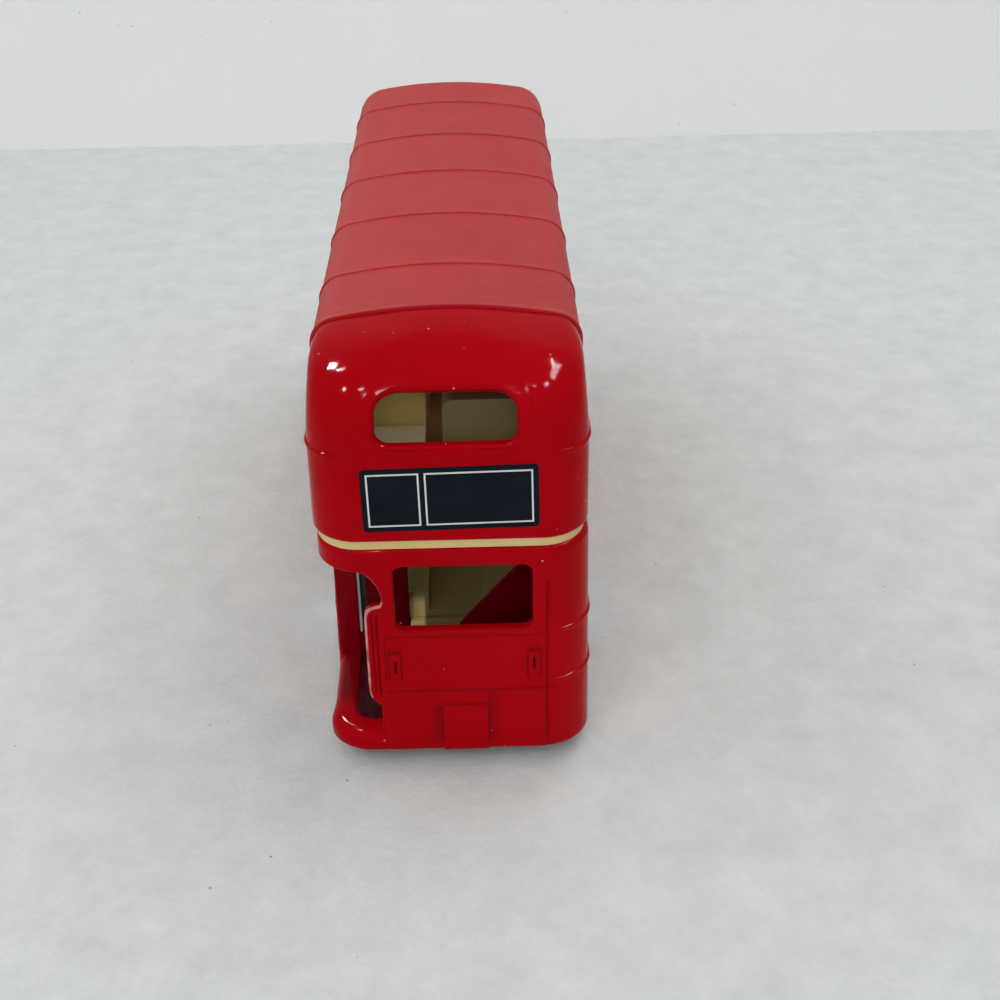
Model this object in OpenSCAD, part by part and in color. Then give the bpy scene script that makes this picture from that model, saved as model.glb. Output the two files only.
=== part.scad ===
// Toy double-deck bus: two castings clamped round a moulded deck, a separate ribbed roof,
// an open rear platform, a half cab beside the bonnet and two free-rolling wheelsets.
// Millimetres. +Z up, +Y forward, +X to the driver's side. The origin is on the ground
// under the middle of the bus.

/* [Overall] */
// Length over the radiator grille and the rear platform
body_l = 128; // [122:1:136]
// Width across the lower deck just under the band
lower_w = 35.2; // [34.4:0.2:38]
// Width across the upper deck
upper_w = 34.8; // [34:0.2:37]
// Ground clearance under the lower casting
ride_h = 2.8; // [2.6:0.1:3.4]
// Wall thickness of both castings
wall = 1.3; // [1.1:0.1:1.5]

/* [Decks] */
// Height of the lower side panels, from the skirt's foot to the window sills
lower_panel_h = 21; // [19:0.2:23]
// Height of the lower windows
lower_win_h = 9; // [7:0.2:11]
// Height of the lower casting above its windows
lower_head = 2.8; // [2.4:0.2:5]
// Thickness of the deck plate that shows as a band between the castings
band_t = 1.2; // [0.8:0.1:1.4]
// How far the band sits back from the wider casting
band_inset = 0.4; // [0.3:0.1:1]
// Height of the upper panels, from the band to the middle of the belt moulding
upper_panel_h = 12; // [10:0.2:13]
// Sill of the upper windows above the belt
upper_sill = 1.2; // [0.8:0.1:1.8]
// Height of the upper side and front windows
upper_win_h = 5.2; // [4:0.1:6.4]
// Height of the upper casting above its windows
upper_head = 0.7; // [0.5:0.1:1.2]
// Height of the roof's crest above the edge that it sits on, without its ribs
roof_rise = 6.25; // [5.4:0.05:8]

/* [Corners] */
// Plan radius of the rear corners
rear_r = 6; // [5:0.25:7]
// Plan radius of the front corners
front_r = 6.5; // [5:0.25:7]
// Extra half width at the foot of the skirt
skirt_flare = 0.45; // [0.2:0.05:0.7]
// Radius of the roof's shoulders
shoulder_r = 3.8; // [3:0.1:4.4]
// Radius of the roof's camber
camber_r = 73; // [60:1:100]

/* [Roof] */
// Distance from the rear of the bus to the roof's rear lip
lip_back = 15.5; // [13:0.5:17]
// Distance from the rear of the bus to the first rib
rib_first = 29.9; // [26:0.1:31]
// Distance between ribs, which is also the length of a window bay
rib_pitch = 19.75; // [19:0.05:20]
// Height of a rib
rib_h = 0.2; // [0.1:0.05:0.4]
// Width of a rib
rib_w = 0.5; // [0.3:0.1:0.9]
// Thickness of the roof moulding
roof_t = 1.1; // [0.8:0.1:1.4]
// How far the roof stands proud of the upper casting
roof_proud = 0.2; // [0.1:0.05:0.3]

/* [Windows] */
// Length of a full side window
side_win_l = 16.2; // [14:0.2:17]
// Corner radius of the windows
win_r = 1.2; // [0.6:0.1:1.8]
// Width of the upper rear window
rear_upper_w = 17.2; // [14:0.2:19]
// Height of the upper rear window
rear_upper_h = 5.6; // [4:0.1:6]
// Upper corner radius of the upper rear window
rear_upper_r = 2.5; // [1.6:0.1:2.7]
// Distance of the lower rear window from the platform's opening
rear_win_in = 4; // [3.4:0.1:6]
// Distance of the lower rear window from the driver's side
rear_win_side = 7.5; // [6.4:0.1:9]
// How far the lower rear window's sill is under the sills of the sides
rear_sill_drop = 0.8; // [0:0.1:1.2]

/* [Platform] */
// Length of the rear platform
platform_l = 15.6; // [14.5:0.1:17]
// Height of the platform's floor
platform_z = 7.5; // [6.4:0.1:8]
// Height of the platform's outer rim above its floor
rim_h = 0.2; // [0.1:0.1:0.9]
// Height of the lower casting over the platform opening
platform_head = 3.4; // [2.8:0.2:6]
// Width of the platform's opening in the rear wall
rear_opening_w = 5.8; // [5:0.1:6.6]
// Right side of the doorway into the saloon
door_x = 0.6; // [-1:0.1:1.4]
// Left side of the doorway into the saloon
jamb_x = -6.6; // [-7.4:0.1:-5.8]

/* [Bonnet] */
// Length of the bonnet, from the front back to the bulkhead
bonnet_l = 19.4; // [18:0.1:20]
// Height of the bonnet above the sills
bonnet_rise = 1.4; // [0.6:0.1:2.4]
// Width of the front wing beside the bonnet
wing_w = 3.8; // [3.2:0.1:4.6]
// Thickness of the front wing over its wheel arch
wing_t = 2.1; // [1.6:0.1:3]
// Kerb side of the driver's cab
cab_x = 1.6; // [0.8:0.1:3]
// Height of the lower casting over the bonnet
canopy_head = 2.2; // [1.6:0.2:4]

/* [Wheels] */
// Radius of the tyres
wheel_r = 7.5; // [7.2:0.1:7.8]
// Width of the tyres
tyre_w = 4.5; // [3.6:0.1:4.6]
// How far the tyres sit in from the sides of the casting
wheel_inset = 0.7; // [0.4:0.1:1]
// Radius of the wheel centres
hub_r = 4.7; // [4:0.1:5.2]
// Radius of the axle pins
axle_r = 0.9; // [0.7:0.05:1.1]
// Distance from the platform's step to the rear axle
rear_axle_in = 20.65; // [18:0.05:24]
// Distance from the front of the bus to the front axle
front_overhang = 12.1; // [11.8:0.1:12.6]
// Gap between the tyres and the wheel arches
arch_gap = 1.1; // [0.8:0.1:1.6]

/* [Interior] */
// How far the lower saloon's floor is under the top of the tyres
floor_drop = 1; // [0.6:0.1:1.4]
// Thickness of the seat mouldings' plates
plate_t = 1.2; // [1:0.1:1.4]
// Height of the lower seat cushions above the floor
lower_seat_h = 3.2; // [3:0.1:4]
// Height of the lower seat backs above the floor
lower_back_h = 9; // [7:0.2:10]
// Height of the upper seat cushions above the deck
upper_seat_h = 6.6; // [5:0.1:7]
// Height of the upper seat backs above the deck
upper_back_h = 11.8; // [9:0.2:12]
// Thickness of the seat backs
back_t = 1.5; // [1.2:0.1:2]
// Half width of the gangways
gangway_hw = 3.2; // [2.6:0.1:3.6]
// Number of seat rows on the upper deck
upper_rows = 6; // [4:1:6]
// Number of cross seats on the lower deck
lower_rows = 4; // [2:1:4]

/* [Base] */
// Thickness of the base plate
base_t = 1.2; // [1:0.1:1.5]
// How far the base plate sits up inside the casting
base_inset = 0.3; // [0.2:0.1:0.5]
// Radius of the rivets that hold the base
rivet_r = 0.9; // [0.7:0.1:1.2]
// Radius of the rivet heads
rivet_head_r = 1.7; // [1.5:0.1:1.9]
// Radius of the posts that the rivets enter
post_r = 2.4; // [2.2:0.1:2.8]

/* [Fits] */
// Gap between fixed pieces that slip together
fit_gap = 0.12; // [0.08:0.01:0.16]
// Radial running clearance of the axles in their bearings
run_gap = 0.05; // [0.02:0.01:0.08]
// Gap between a turning wheel and what stands beside it
wheel_gap = 0.6; // [0.4:0.1:0.8]

/* [Trim] */
// Thickness of the radiator grille on the front
grille_t = 0.6; // [0.4:0.1:1]
// How far the blank number plate stands off the rear wall
plate_proud = 0.25; // [0.15:0.05:0.4]
// Left edge of the blank number plate
number_x = -2; // [-3:0.1:-1]
// Width of the blank number plate
number_w = 6.1; // [5:0.1:7]
// Top of the blank number plate
number_top_z = 10.6; // [9:0.1:12]
// Bottom of the blank rear lamp plates
rear_lamp_z = 15.1; // [14:0.1:16]
// Height of the blank rear lamp plates
rear_lamp_h = 4.2; // [3:0.1:5]
// Width of the blank rear lamp plates
rear_lamp_w = 1.6; // [1.2:0.1:2]
// How far the belt and the side beads stand out
bead_proud = 0.22; // [0.1:0.02:0.3]
// Height of the belt and the side beads
bead_h = 0.45; // [0.3:0.05:0.7]
// Heights of the two side beads
bead_z = [14.3, 22.4]; // [10:0.1:24]
// Half width between the ends of the belt and beads at the rear and front
bead_end_x = 12.6; // [11:0.1:14]
// Distance of the headlamps in from the sides
lamp_inset = 5.4; // [5:0.1:6]
// Height of the headlamps
lamp_z = 12.4; // [11:0.1:14]
// Radius of the headlamps
lamp_r = 1.8; // [1.4:0.1:2.2]
// Bottom of the radiator grille
grille_z0 = 6.4; // [6:0.1:8]
// Corner radius at the foot of the grille
grille_foot_r = 0.8; // [0.4:0.1:1.2]
// Corner radius at the head of the grille
grille_head_r = 2; // [1:0.1:3]
// Number of slots in the grille
slat_count = 7; // [5:1:9]

/* [Hidden] */
$fn = 48;

body_red = [0.64, 0.02, 0.06];
roof_red = [0.68, 0.24, 0.26];
cream = [0.84, 0.76, 0.5];
black = [0.06, 0.06, 0.06];
steel = [0.7, 0.7, 0.72];
silver = [0.8, 0.8, 0.82];

eps = 0.01;
reach = 60;
rear_y = -body_l / 2 + plate_proud;
front_y = body_l / 2 - grille_t;
lower_hw = lower_w / 2;
upper_hw = upper_w / 2;
lower_sill_z = ride_h + lower_panel_h;
lower_win_top = lower_sill_z + lower_win_h;
lower_top_z = lower_win_top + lower_head;
upper_z0 = lower_top_z + band_t;
belt_z = upper_z0 + upper_panel_h;
upper_sill_z = belt_z + upper_sill;
upper_win_top = upper_sill_z + upper_win_h;
roof_seat_z = upper_win_top + upper_head;
roof_top_z = roof_seat_z + roof_rise;
platform_head_z = lower_top_z - platform_head;
canopy_z = lower_top_z - canopy_head;
bonnet_z = lower_sill_z + bonnet_rise;
arch_r = wheel_r + arch_gap;
wing_z = wheel_r + arch_r + wing_t;
saloon_z = 2 * wheel_r - floor_drop;
rear_edge_x = -lower_hw + rear_opening_w;
rear_win_x0 = rear_edge_x + rear_win_in;
rear_win_x1 = lower_hw - rear_win_side;
bonnet_x = -lower_hw + wing_w;
wheel_face_x = lower_hw - wheel_inset;
front_axle_y = body_l / 2 - front_overhang;
bulkhead_y = body_l / 2 - bonnet_l;
platform_y = rear_y + platform_l;
rear_axle_y = platform_y + rear_axle_in;
lip_y = rear_y + lip_back;
base_z = ride_h + base_inset;
base_top_z = base_z + base_t;
corner_steps = 7;
edge_round = 0.9;

// A quarter turn or more of points about a centre
function arc(cx, cy, r, a0, a1, n) =
    [for (i = [0:n]) let (a = a0 + (a1 - a0) * i / n) [cx + r * cos(a), cy + r * sin(a)]];

// Plan outline with its own rear and front corner radii
function outline(hw, y0, y1, r0, r1) = concat(
    arc(-hw + r0, y0 + r0, r0, 180, 270, corner_steps),
    arc(hw - r0, y0 + r0, r0, 270, 360, corner_steps),
    arc(hw - r1, y1 - r1, r1, 0, 90, corner_steps),
    arc(-hw + r1, y1 - r1, r1, 90, 180, corner_steps)
);

// Rows of faces between rings that all have n points
function skin(n, m) = [for (j = [0:m - 2], i = [0:n - 1], half = [0, 1])
    let (a = j * n + i, b = j * n + (i + 1) % n, c = (j + 1) * n + (i + 1) % n, d = (j + 1) * n + i)
    half == 0 ? [a, d, c] : [a, c, b]];

// Solid through a stack of [height, outline] rings
module loft(layers) {
    n = len(layers[0][1]);
    m = len(layers);
    points = [for (layer = layers, p = layer[1]) [p[0], p[1], layer[0]]];
    caps = [[for (i = [0:n - 1]) i], [for (i = [n - 1:-1:0]) (m - 1) * n + i]];
    polyhedron(points, concat(caps, skin(n, m)));
}

// Rectangle with round corners, r0 on the two lower ones and r1 on the two upper ones
module round_rect(x0, y0, x1, y1, r0, r1) {
    polygon([
        [x0 + r0, y0], [x1 - r0, y0], [x1, y0 + r0], [x1, y1 - r1],
        [x1 - r1, y1], [x0 + r1, y1], [x0, y1 - r1], [x0, y0 + r0]
    ]);
    for (x = [x0 + r0, x1 - r0])
        translate([x, y0 + r0]) circle(r0);
    for (x = [x0 + r1, x1 - r1])
        translate([x, y1 - r1]) circle(r1);
}

// Block between two corners
module block(a, b) {
    translate(a) cube(b - a);
}

// Extrude a side profile of (y, z) from x0 to x1
module along_x(x0, x1) {
    translate([x0, 0, 0]) rotate([90, 0, 90]) linear_extrude(x1 - x0) children();
}

// Extrude a front profile of (x, z) from y0 to y1
module along_y(y0, y1) {
    translate([0, y1, 0]) rotate([90, 0, 0]) linear_extrude(y1 - y0) children();
}

// Plan prism with round corners
module plan_prism(hw, y0, y1, r0, r1, z0, z1) {
    translate([0, 0, z0]) linear_extrude(z1 - z0) round_rect(-hw, y0, hw, y1, r0, r1);
}

// Height that a cambered roof has lost where its shoulder begins
function shoulder_tilt(hw, rs) = asin((hw - rs) / camber_r);
function shoulder_x(hw, rs) = hw - rs + rs * sin(shoulder_tilt(hw, rs));
function shoulder_drop(hw, rs) = shoulder_x(hw, rs) ^ 2 / (2 * camber_r) + rs * cos(shoulder_tilt(hw, rs));

// Half width of the roof section at a height under its crest
function section_hw(depth, hw, rs) =
    let (drop = shoulder_drop(hw, rs), camber_drop = shoulder_x(hw, rs) ^ 2 / (2 * camber_r))
    depth > drop ? hw
    : depth > camber_drop ? hw - rs + sqrt(max(0, rs ^ 2 - (drop - depth) ^ 2))
    : sqrt(2 * camber_r * max(depth, eps));

// Rear dome: a superellipse from the belt forward and up to the crest
dome_power = 2.3;
dome_z0 = belt_z + 0.6;
dome_run = lip_back + 3.2;
dome_steps = 9;
dome_end = 84;
rear_lean = 0.35;
dome_crest = roof_top_z - 0.15;
function dome_rise(a) = sin(a) ^ (2 / dome_power);
function dome_reach(a) = 1 - cos(a) ^ (2 / dome_power);

// Lower casting: outer skin with a flared skirt and rounded edges
function lower_skin_hw(z) = lower_hw + skirt_flare * (lower_top_z - z) / (lower_top_z - ride_h);
function lower_ring(z, inset) = [z, outline(lower_skin_hw(z) - inset, rear_y + inset, front_y - inset,
    rear_r - inset, front_r - inset)];
lower_rings = [
    lower_ring(ride_h, 0.4),
    lower_ring(ride_h + 0.3, 0.1),
    lower_ring(ride_h + 0.7, 0),
    lower_ring(lower_top_z - edge_round, 0),
    lower_ring(lower_top_z - 0.35 * edge_round, 0.3 * edge_round),
    lower_ring(lower_top_z, edge_round)
];

// Ribs and window bays that fit between the rear and the front
roof_front_y = front_y - 0.6;
roof_nose_l = 4.7;
nose_y = roof_front_y - roof_nose_l;
rib_ramp = 0.12;
rib0_y = rear_y + rib_first;
rib_count = floor((nose_y - rib_ramp - rib_w - rib0_y) / rib_pitch) + 1;
pillar = rib_pitch - side_win_l;
lower_bays = floor((bulkhead_y - wall - pillar / 2 - rib0_y) / rib_pitch);
shortest_win = 4;
function rib_y(i) = rib0_y + rib_pitch * i;
function bay(i) = [rib_y(i) + pillar / 2, rib_y(i + 1) - pillar / 2];

// Side windows of the lower deck as [rear edge, front edge], with short ones at both ends
lower_ends = [
    [platform_y + wall + pillar / 2, rib0_y - pillar / 2],
    [rib_y(lower_bays) + pillar / 2, bulkhead_y - wall - pillar / 2]
];
lower_side_wins = concat(
    [for (w = lower_ends) if (w[1] - w[0] > shortest_win) w],
    [for (i = [0:lower_bays - 1]) bay(i)]
);

module lower_windows() {
    for (w = lower_side_wins)
        along_x(-reach, reach) round_rect(w[0], lower_sill_z, w[1], lower_win_top, win_r, win_r);
    // Rear window
    along_y(rear_y - 1, rear_y + wall + 1)
        round_rect(rear_win_x0, lower_sill_z - rear_sill_drop, rear_win_x1, lower_win_top, win_r, win_r);
    // Windscreen
    along_y(front_y - front_r, front_y + 1)
        round_rect(cab_x + wall + 0.8, lower_sill_z, lower_hw - 2.2, lower_win_top, win_r, win_r);
    // Driver's side window
    along_x(cab_x + wall + 1, reach)
        round_rect(bulkhead_y + 4.6, lower_sill_z, front_y - 4.4, lower_win_top, win_r, win_r);
    // Cab window over the bonnet
    along_x(cab_x - 1, cab_x + wall + 1)
        round_rect(bulkhead_y + 4.6, bonnet_z + 1.4, front_y - 4.4, lower_win_top, win_r, win_r);
    // Saloon window behind the bonnet
    along_y(bulkhead_y - wall - 1, bulkhead_y + 1)
        round_rect(bonnet_x, bonnet_z + 1.2, cab_x - 1.6, lower_win_top, win_r, win_r);
}

// Edge of the rear wall beside the platform, from the head down to the floor
notch_z = platform_head_z - 0.3;
panel_top_z = 26.4;
panel_low_z = 13.2;
step_x = rear_edge_x + 1.5;
module platform_opening() {
    // Through the rear wall
    along_y(rear_y - 2, rear_y + rear_r + eps) union() {
        polygon([
            [-reach, platform_z + rim_h], [step_x, platform_z + rim_h], [step_x, panel_low_z - 1.3],
            [rear_edge_x + 0.5, panel_low_z], [rear_edge_x, panel_low_z + 1.4],
            [rear_edge_x, panel_top_z - 1], [rear_edge_x + 0.4, panel_top_z],
            [rear_edge_x + 2.2, panel_top_z + 0.5], [rear_edge_x + 2.4, panel_top_z + 1.8],
            [rear_edge_x + 1.9, notch_z - 2], [rear_edge_x + 0.5, notch_z], [-reach, platform_head_z]
        ]);
    }
    // Through the kerb side
    along_x(-reach, -lower_hw + wall + rear_r * 0.3)
        round_rect(rear_y - 4, platform_z + rim_h, platform_y, platform_head_z, 0.2, 1.6);
}

// Front and rear bulkheads, stair casing and platform floor inside the lower casting
inner_hw = lower_hw - wall;
bite = wall / 2;
step_z = saloon_z - plate_t - fit_gap;
stair_foot_z = 15;
module lower_inner_walls() {
    // Platform floor
    plan_prism(inner_hw + bite, rear_y + bite, platform_y + wall, rear_r - bite, 0.2, ride_h, platform_z);
    // Step up to the saloon
    block([-inner_hw - bite, platform_y, ride_h + 0.5], [inner_hw + bite, platform_y + wall, step_z]);
    // Kerb-side return and the wall beside the doorway
    block([-inner_hw - bite, platform_y, step_z - 1], [bonnet_x + 0.2, platform_y + wall, lower_top_z - 1]);
    block([rear_edge_x - 0.6, platform_y, step_z - 1], [jamb_x, platform_y + wall, lower_top_z - 1]);
    // Stair casing climbing to the driver's side
    along_y(platform_y - 3.2, platform_y + wall) polygon([
        [door_x, platform_z - 1], [inner_hw + bite, platform_z - 1], [inner_hw + bite, lower_top_z - 1],
        [inner_hw - 1.5, lower_top_z - 1], [door_x, stair_foot_z]
    ]);
    // Front bulkhead
    block([-inner_hw - bite, bulkhead_y - wall, wing_z - 1.4], [inner_hw + bite, bulkhead_y, lower_top_z - 0.6]);
    // Kerb side of the cab
    block([cab_x, bulkhead_y - bite, bonnet_z - 3], [cab_x + wall, front_y - bite, lower_top_z - 0.6]);
}

// Floor of the driver's cab
module cab_floor() {
    intersection() {
        plan_prism(inner_hw + bite, bulkhead_y - bite, front_y - bite, 0.2, front_r - bite, wing_z - wall, wing_z);
        block([cab_x, 0, 0], [reach, reach * 2, reach]);
    }
}

// Bead round the sides and corners, with its ends short of the middle of the rear and the front
module bead(hw, y0, y1, z) {
    difference() {
        plan_prism(hw + bead_proud, y0 - bead_proud, y1 + bead_proud, rear_r + bead_proud, front_r + bead_proud,
            z - bead_h / 2, z + bead_h / 2);
        plan_prism(hw - wall / 2, y0 + wall / 2, y1 - wall / 2, rear_r - wall / 2, front_r - wall / 2, 0, reach);
        block([-bead_end_x, -reach * 2, 0], [bead_end_x, reach * 2, reach]);
    }
}

// Blank number plate and lamp plates on the rear wall
rear_lamp_x = [rear_win_x0 - 1.1, rear_win_x1 - 0.6];
module rear_plates() {
    along_y(rear_y - plate_proud, rear_y + bite)
        round_rect(number_x, ride_h + 0.6, number_x + number_w, number_top_z, 0.3, 0.5);
    for (x = rear_lamp_x)
        along_y(rear_y - plate_proud * 0.8, rear_y + bite)
            round_rect(x, rear_lamp_z, x + rear_lamp_w, rear_lamp_z + rear_lamp_h, 0.25, 0.25);
}

// Bonnet with a round kerb-side shoulder, standing over the front wing
bonnet_round = 3;
module bonnet_shell() {
    along_y(bulkhead_y - bite, front_y - bite) difference() {
        union() {
            round_rect(bonnet_x, wing_z - wall, cab_x + wall + bonnet_round, bonnet_z, 0.1, bonnet_round);
            polygon([
                [-lower_hw + bite, wing_z - wall], [bonnet_x + 2, wing_z - wall], [bonnet_x + 2, wing_z],
                [-lower_hw + bite, wing_z]
            ]);
        }
        round_rect(bonnet_x + wall, wing_z - 2 * wall, cab_x + wall + bonnet_round, bonnet_z - wall,
            0.1, bonnet_round - wall);
        translate([cab_x + wall, 0]) square(reach);
    }
}

// Posts that the base rivets enter
front_post_y = bulkhead_y - wall - post_r + 0.5;
rear_post_y = platform_y + wall + post_r - 0.5;
post_top_front = wing_z + 1.4;
post_top_rear = step_z;
rivet_l = 4.5;
module posts() {
    translate([0, front_post_y, base_top_z]) cylinder(r = post_r, h = post_top_front - base_top_z);
    translate([0, rear_post_y, base_top_z]) cylinder(r = post_r, h = post_top_rear - base_top_z);
}

// Sockets in the front wall for the pegs of the grille and the headlamps
peg_r = 0.8;
grille_in = 4.6;
grille_cab_gap = 2;
grille_drop = 1.4;
peg_in = 3;
grille_x0 = bonnet_x + grille_in;
grille_x1 = cab_x - grille_cab_gap;
grille_z1 = bonnet_z - grille_drop;
grille_peg_z = [grille_z0 + peg_in, grille_z1 - peg_in];
lamp_x = lower_hw - lamp_inset;
module front_pegs(r, y0) {
    for (z = grille_peg_z)
        translate([(grille_x0 + grille_x1) / 2, y0, z]) rotate([-90, 0, 0]) cylinder(r = r, h = front_y - y0 + eps);
}
module lamp_pegs(r, y0) {
    for (side = [-1, 1])
        translate([side * lamp_x, y0, lamp_z]) rotate([-90, 0, 0]) cylinder(r = r, h = front_y - y0 + eps);
}

module lower_body() color(body_red) {
    difference() {
        union() {
            difference() {
                loft(lower_rings);
                plan_prism(inner_hw, rear_y + wall, front_y - wall, rear_r - wall, front_r - wall, 0, reach);
            }
            lower_inner_walls();
            cab_floor();
            rear_plates();
            for (z = bead_z)
                bead(lower_skin_hw(z), rear_y, front_y, z);
        }
        lower_windows();
        platform_opening();
        // Wheel arches
        for (y = [front_axle_y, rear_axle_y])
            translate([-reach, y, wheel_r]) rotate([0, 90, 0]) cylinder(r = arch_r, h = 2 * reach);
        // Space over the bonnet and the wing, open to the front and the kerb side
        block([-reach, bulkhead_y, bonnet_z], [cab_x, reach * 2, canopy_z]);
        block([-reach, bulkhead_y, wing_z], [bonnet_x, reach * 2, canopy_z]);
        front_pegs(peg_r + fit_gap / 2, front_y - wall - 1);
        lamp_pegs(peg_r + fit_gap / 2, front_y - wall - 2);
    }
    bonnet_shell();
    difference() {
        posts();
        for (y = [front_post_y, rear_post_y])
            translate([0, y, base_top_z - eps]) cylinder(r = rivet_r, h = rivet_l + fit_gap);
    }
}

// Upper casting
upper_front_y = front_y - 0.2;
front_lean = 0.6;
function upper_front(z) = upper_front_y - front_lean * (z - upper_z0) / (roof_seat_z - upper_z0);
function upper_ring(z, run, hw, inset) = [z, outline(hw - inset, rear_y + run + inset,
    upper_front(min(z, roof_seat_z)) - inset,
    min(rear_r + 0.3 * run, 0.85 * hw) - inset * 0.5, min(front_r, 0.85 * hw) - inset * 0.5)];
function dome_angle(k) = dome_end * k / dome_steps;
function dome_ring_z(k) = dome_z0 + (dome_crest - dome_z0) * dome_rise(dome_angle(k));
function dome_ring(k, t) =
    let (z = dome_ring_z(k), run = rear_lean + (dome_run - rear_lean) * dome_reach(dome_angle(k)),
        hw = section_hw(dome_crest - z, upper_hw, shoulder_r),
        ring = upper_ring(z, run, max(hw, t + 1), t))
    [z - t * dome_rise(dome_angle(k)), ring[1]];
upper_rings = concat(
    [
        upper_ring(upper_z0, 0.3, upper_hw, 0.3),
        upper_ring(upper_z0 + 0.4, 0, upper_hw, 0),
        upper_ring(belt_z - 0.5, rear_lean, upper_hw, 0)
    ],
    [for (k = [0:dome_steps]) dome_ring(k, 0)]
);
upper_void_rings = concat(
    [upper_ring(upper_z0 - 2, rear_lean, upper_hw, wall), upper_ring(belt_z - 0.5, rear_lean, upper_hw, wall)],
    [for (k = [0:2:dome_steps]) dome_ring(k, wall)]
);
front_quarter = [rib_y(rib_count - 1) + pillar / 2, upper_front(upper_win_top) - front_r + 2];

module upper_windows() {
    for (i = [-1:rib_count - 2])
        along_x(-reach, reach) round_rect(bay(i)[0], upper_sill_z, bay(i)[1], upper_win_top, win_r, win_r);
    along_x(-reach, reach)
        round_rect(front_quarter[0], upper_sill_z, front_quarter[1], upper_win_top, win_r, win_r);
    // Two front windows with a pillar between them
    for (side = [-1, 1])
        along_y(upper_front_y - wall - 3, reach * 2) {
            x0 = side < 0 ? -upper_hw + 3.4 : 0.8;
            round_rect(x0, upper_sill_z, x0 + upper_hw - 4.2, upper_win_top, win_r, win_r);
        }
    // Rear window in the dome
    along_y(rear_y - 1, rear_y + wall + 5)
        round_rect(-rear_upper_w / 2, upper_sill_z + 0.8, rear_upper_w / 2, upper_sill_z + 0.8 + rear_upper_h,
            1.6, rear_upper_r);
}

module upper_body() color(body_red) difference() {
    union() {
        loft(upper_rings);
        bead(upper_hw, rear_y + rear_lean, upper_front(belt_z), belt_z);
    }
    loft(upper_void_rings);
    upper_windows();
    block([-reach, lip_y, roof_seat_z], [reach, reach * 2, reach * 2]);
}

// Roof moulding: arch sections strung along the bus, raised at the lip and the ribs
roof_hw = upper_hw + roof_proud;
roof_front_r = front_r;
roof_power = 2.4;
arch_steps = 5;
// Half of an arch from its foot to its crest, with its height scaled by k
function half_arch(hw, rise, rs, k) =
    let (drop = shoulder_drop(hw, rs), tilt = shoulder_tilt(hw, rs), sx = shoulder_x(hw, rs))
    concat(
        [[hw, 0]],
        [for (i = [0:arch_steps]) let (a = (90 - tilt) * i / arch_steps)
            [hw - rs + rs * cos(a), k * (rise - drop + rs * sin(a))]],
        [for (f = [0.66, 0.33]) [sx * f, k * (rise - (sx * f) ^ 2 / (2 * camber_r))]]
    );
function full_arch(hw, rise, rs, k) =
    let (h = half_arch(hw, rise, rs, k), n = len(h))
    concat(h, [[0, k * rise]], [for (i = [n - 1:-1:0]) [-h[i][0], h[i][1]]]);
// One closed section of the moulding at y: outer arch, then inner arch back again
function roof_section(y, hw, k, lift) =
    let (outer = full_arch(hw + lift, roof_rise + lift, shoulder_r + lift, k),
        thin_rise = roof_rise - roof_t,
        thin_k = max(0.02, (roof_rise * k - roof_t) / thin_rise),
        inner = full_arch(hw - roof_t, thin_rise, shoulder_r - roof_t, thin_k),
        n = len(inner))
    concat(
        [for (p = outer) [-p[0], y, roof_seat_z + p[1]]],
        [for (i = [n - 1:-1:0]) [-inner[i][0], y, roof_seat_z + inner[i][1]]]
    );
nose_low = (roof_t + 0.12) / roof_rise;
function nose_k(s) = nose_low + (1 - nose_low) * max(0, 1 - s ^ roof_power) ^ (1 / roof_power);
function nose_hw(y) =
    let (d = max(0, y - (roof_front_y - roof_front_r)))
    roof_hw - roof_front_r + sqrt(max(0, roof_front_r ^ 2 - d ^ 2));
roof_stations = concat(
    [[lip_y + fit_gap, 1], [lip_y + fit_gap + rib_w, 1], [lip_y + fit_gap + rib_w + rib_ramp, 0]],
    [for (i = [0:rib_count - 1], step = [[-0.5, -1, 0], [-0.5, 0, 1], [0.5, 0, 1], [0.5, 1, 0]])
        [rib_y(i) + step[0] * rib_w + step[1] * rib_ramp, step[2]]],
    [for (i = [0:8]) [nose_y + roof_nose_l * sin(90 * i / 8), 0]]
);
module roof_cover() color(roof_red) {
    sections = [for (st = roof_stations)
        roof_section(st[0], nose_hw(st[0]), nose_k(max(0, st[0] - nose_y) / roof_nose_l), st[1] * rib_h)];
    n = len(sections[0]);
    half = n / 2;
    m = len(sections);
    points = [for (s = sections, p = s) p];
    ends = [for (j = [0, m - 1], i = [0:half - 2])
        let (a = j * n + i, b = a + 1, c = j * n + n - 2 - i, d = c + 1)
        j == 0 ? [a, b, c, d] : [d, c, b, a]];
    polyhedron(points, concat(ends, skin(n, m)));
    // Stepped rails that locate the roof inside the side walls
    rail_x = upper_hw - wall - fit_gap;
    for (side = [0, 1])
        mirror([side, 0, 0]) along_y(lip_y + 3, nose_y - 3) translate([rail_x, roof_seat_z]) polygon([
            [-0.8, -0.5], [0, -0.5], [0, 0], [roof_hw - roof_t / 2 - rail_x, 0],
            [roof_hw - roof_t / 2 - rail_x, 0.8], [-0.8, 0.8]
        ]);
}

// Deck moulding: the plate between the castings with the upper seats on it
deck_hw = max(upper_hw, lower_hw) - band_inset;
rail_w = 1;
rail_h = 1.2;
rail_y = [rear_y + rear_r + 9, front_y - front_r - 9];
deck_z = upper_z0;
seat_x = upper_hw - wall - fit_gap;
upper_first_y = lip_y + 3.6;
upper_row_pitch = (upper_front_y - 5 - upper_first_y) / upper_rows;
well_x0 = -0.7;
well_x1 = seat_x - 1.6;
well_y0 = rear_y + 8;
well_h = 15.8;
well_round = 1.4;

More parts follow.
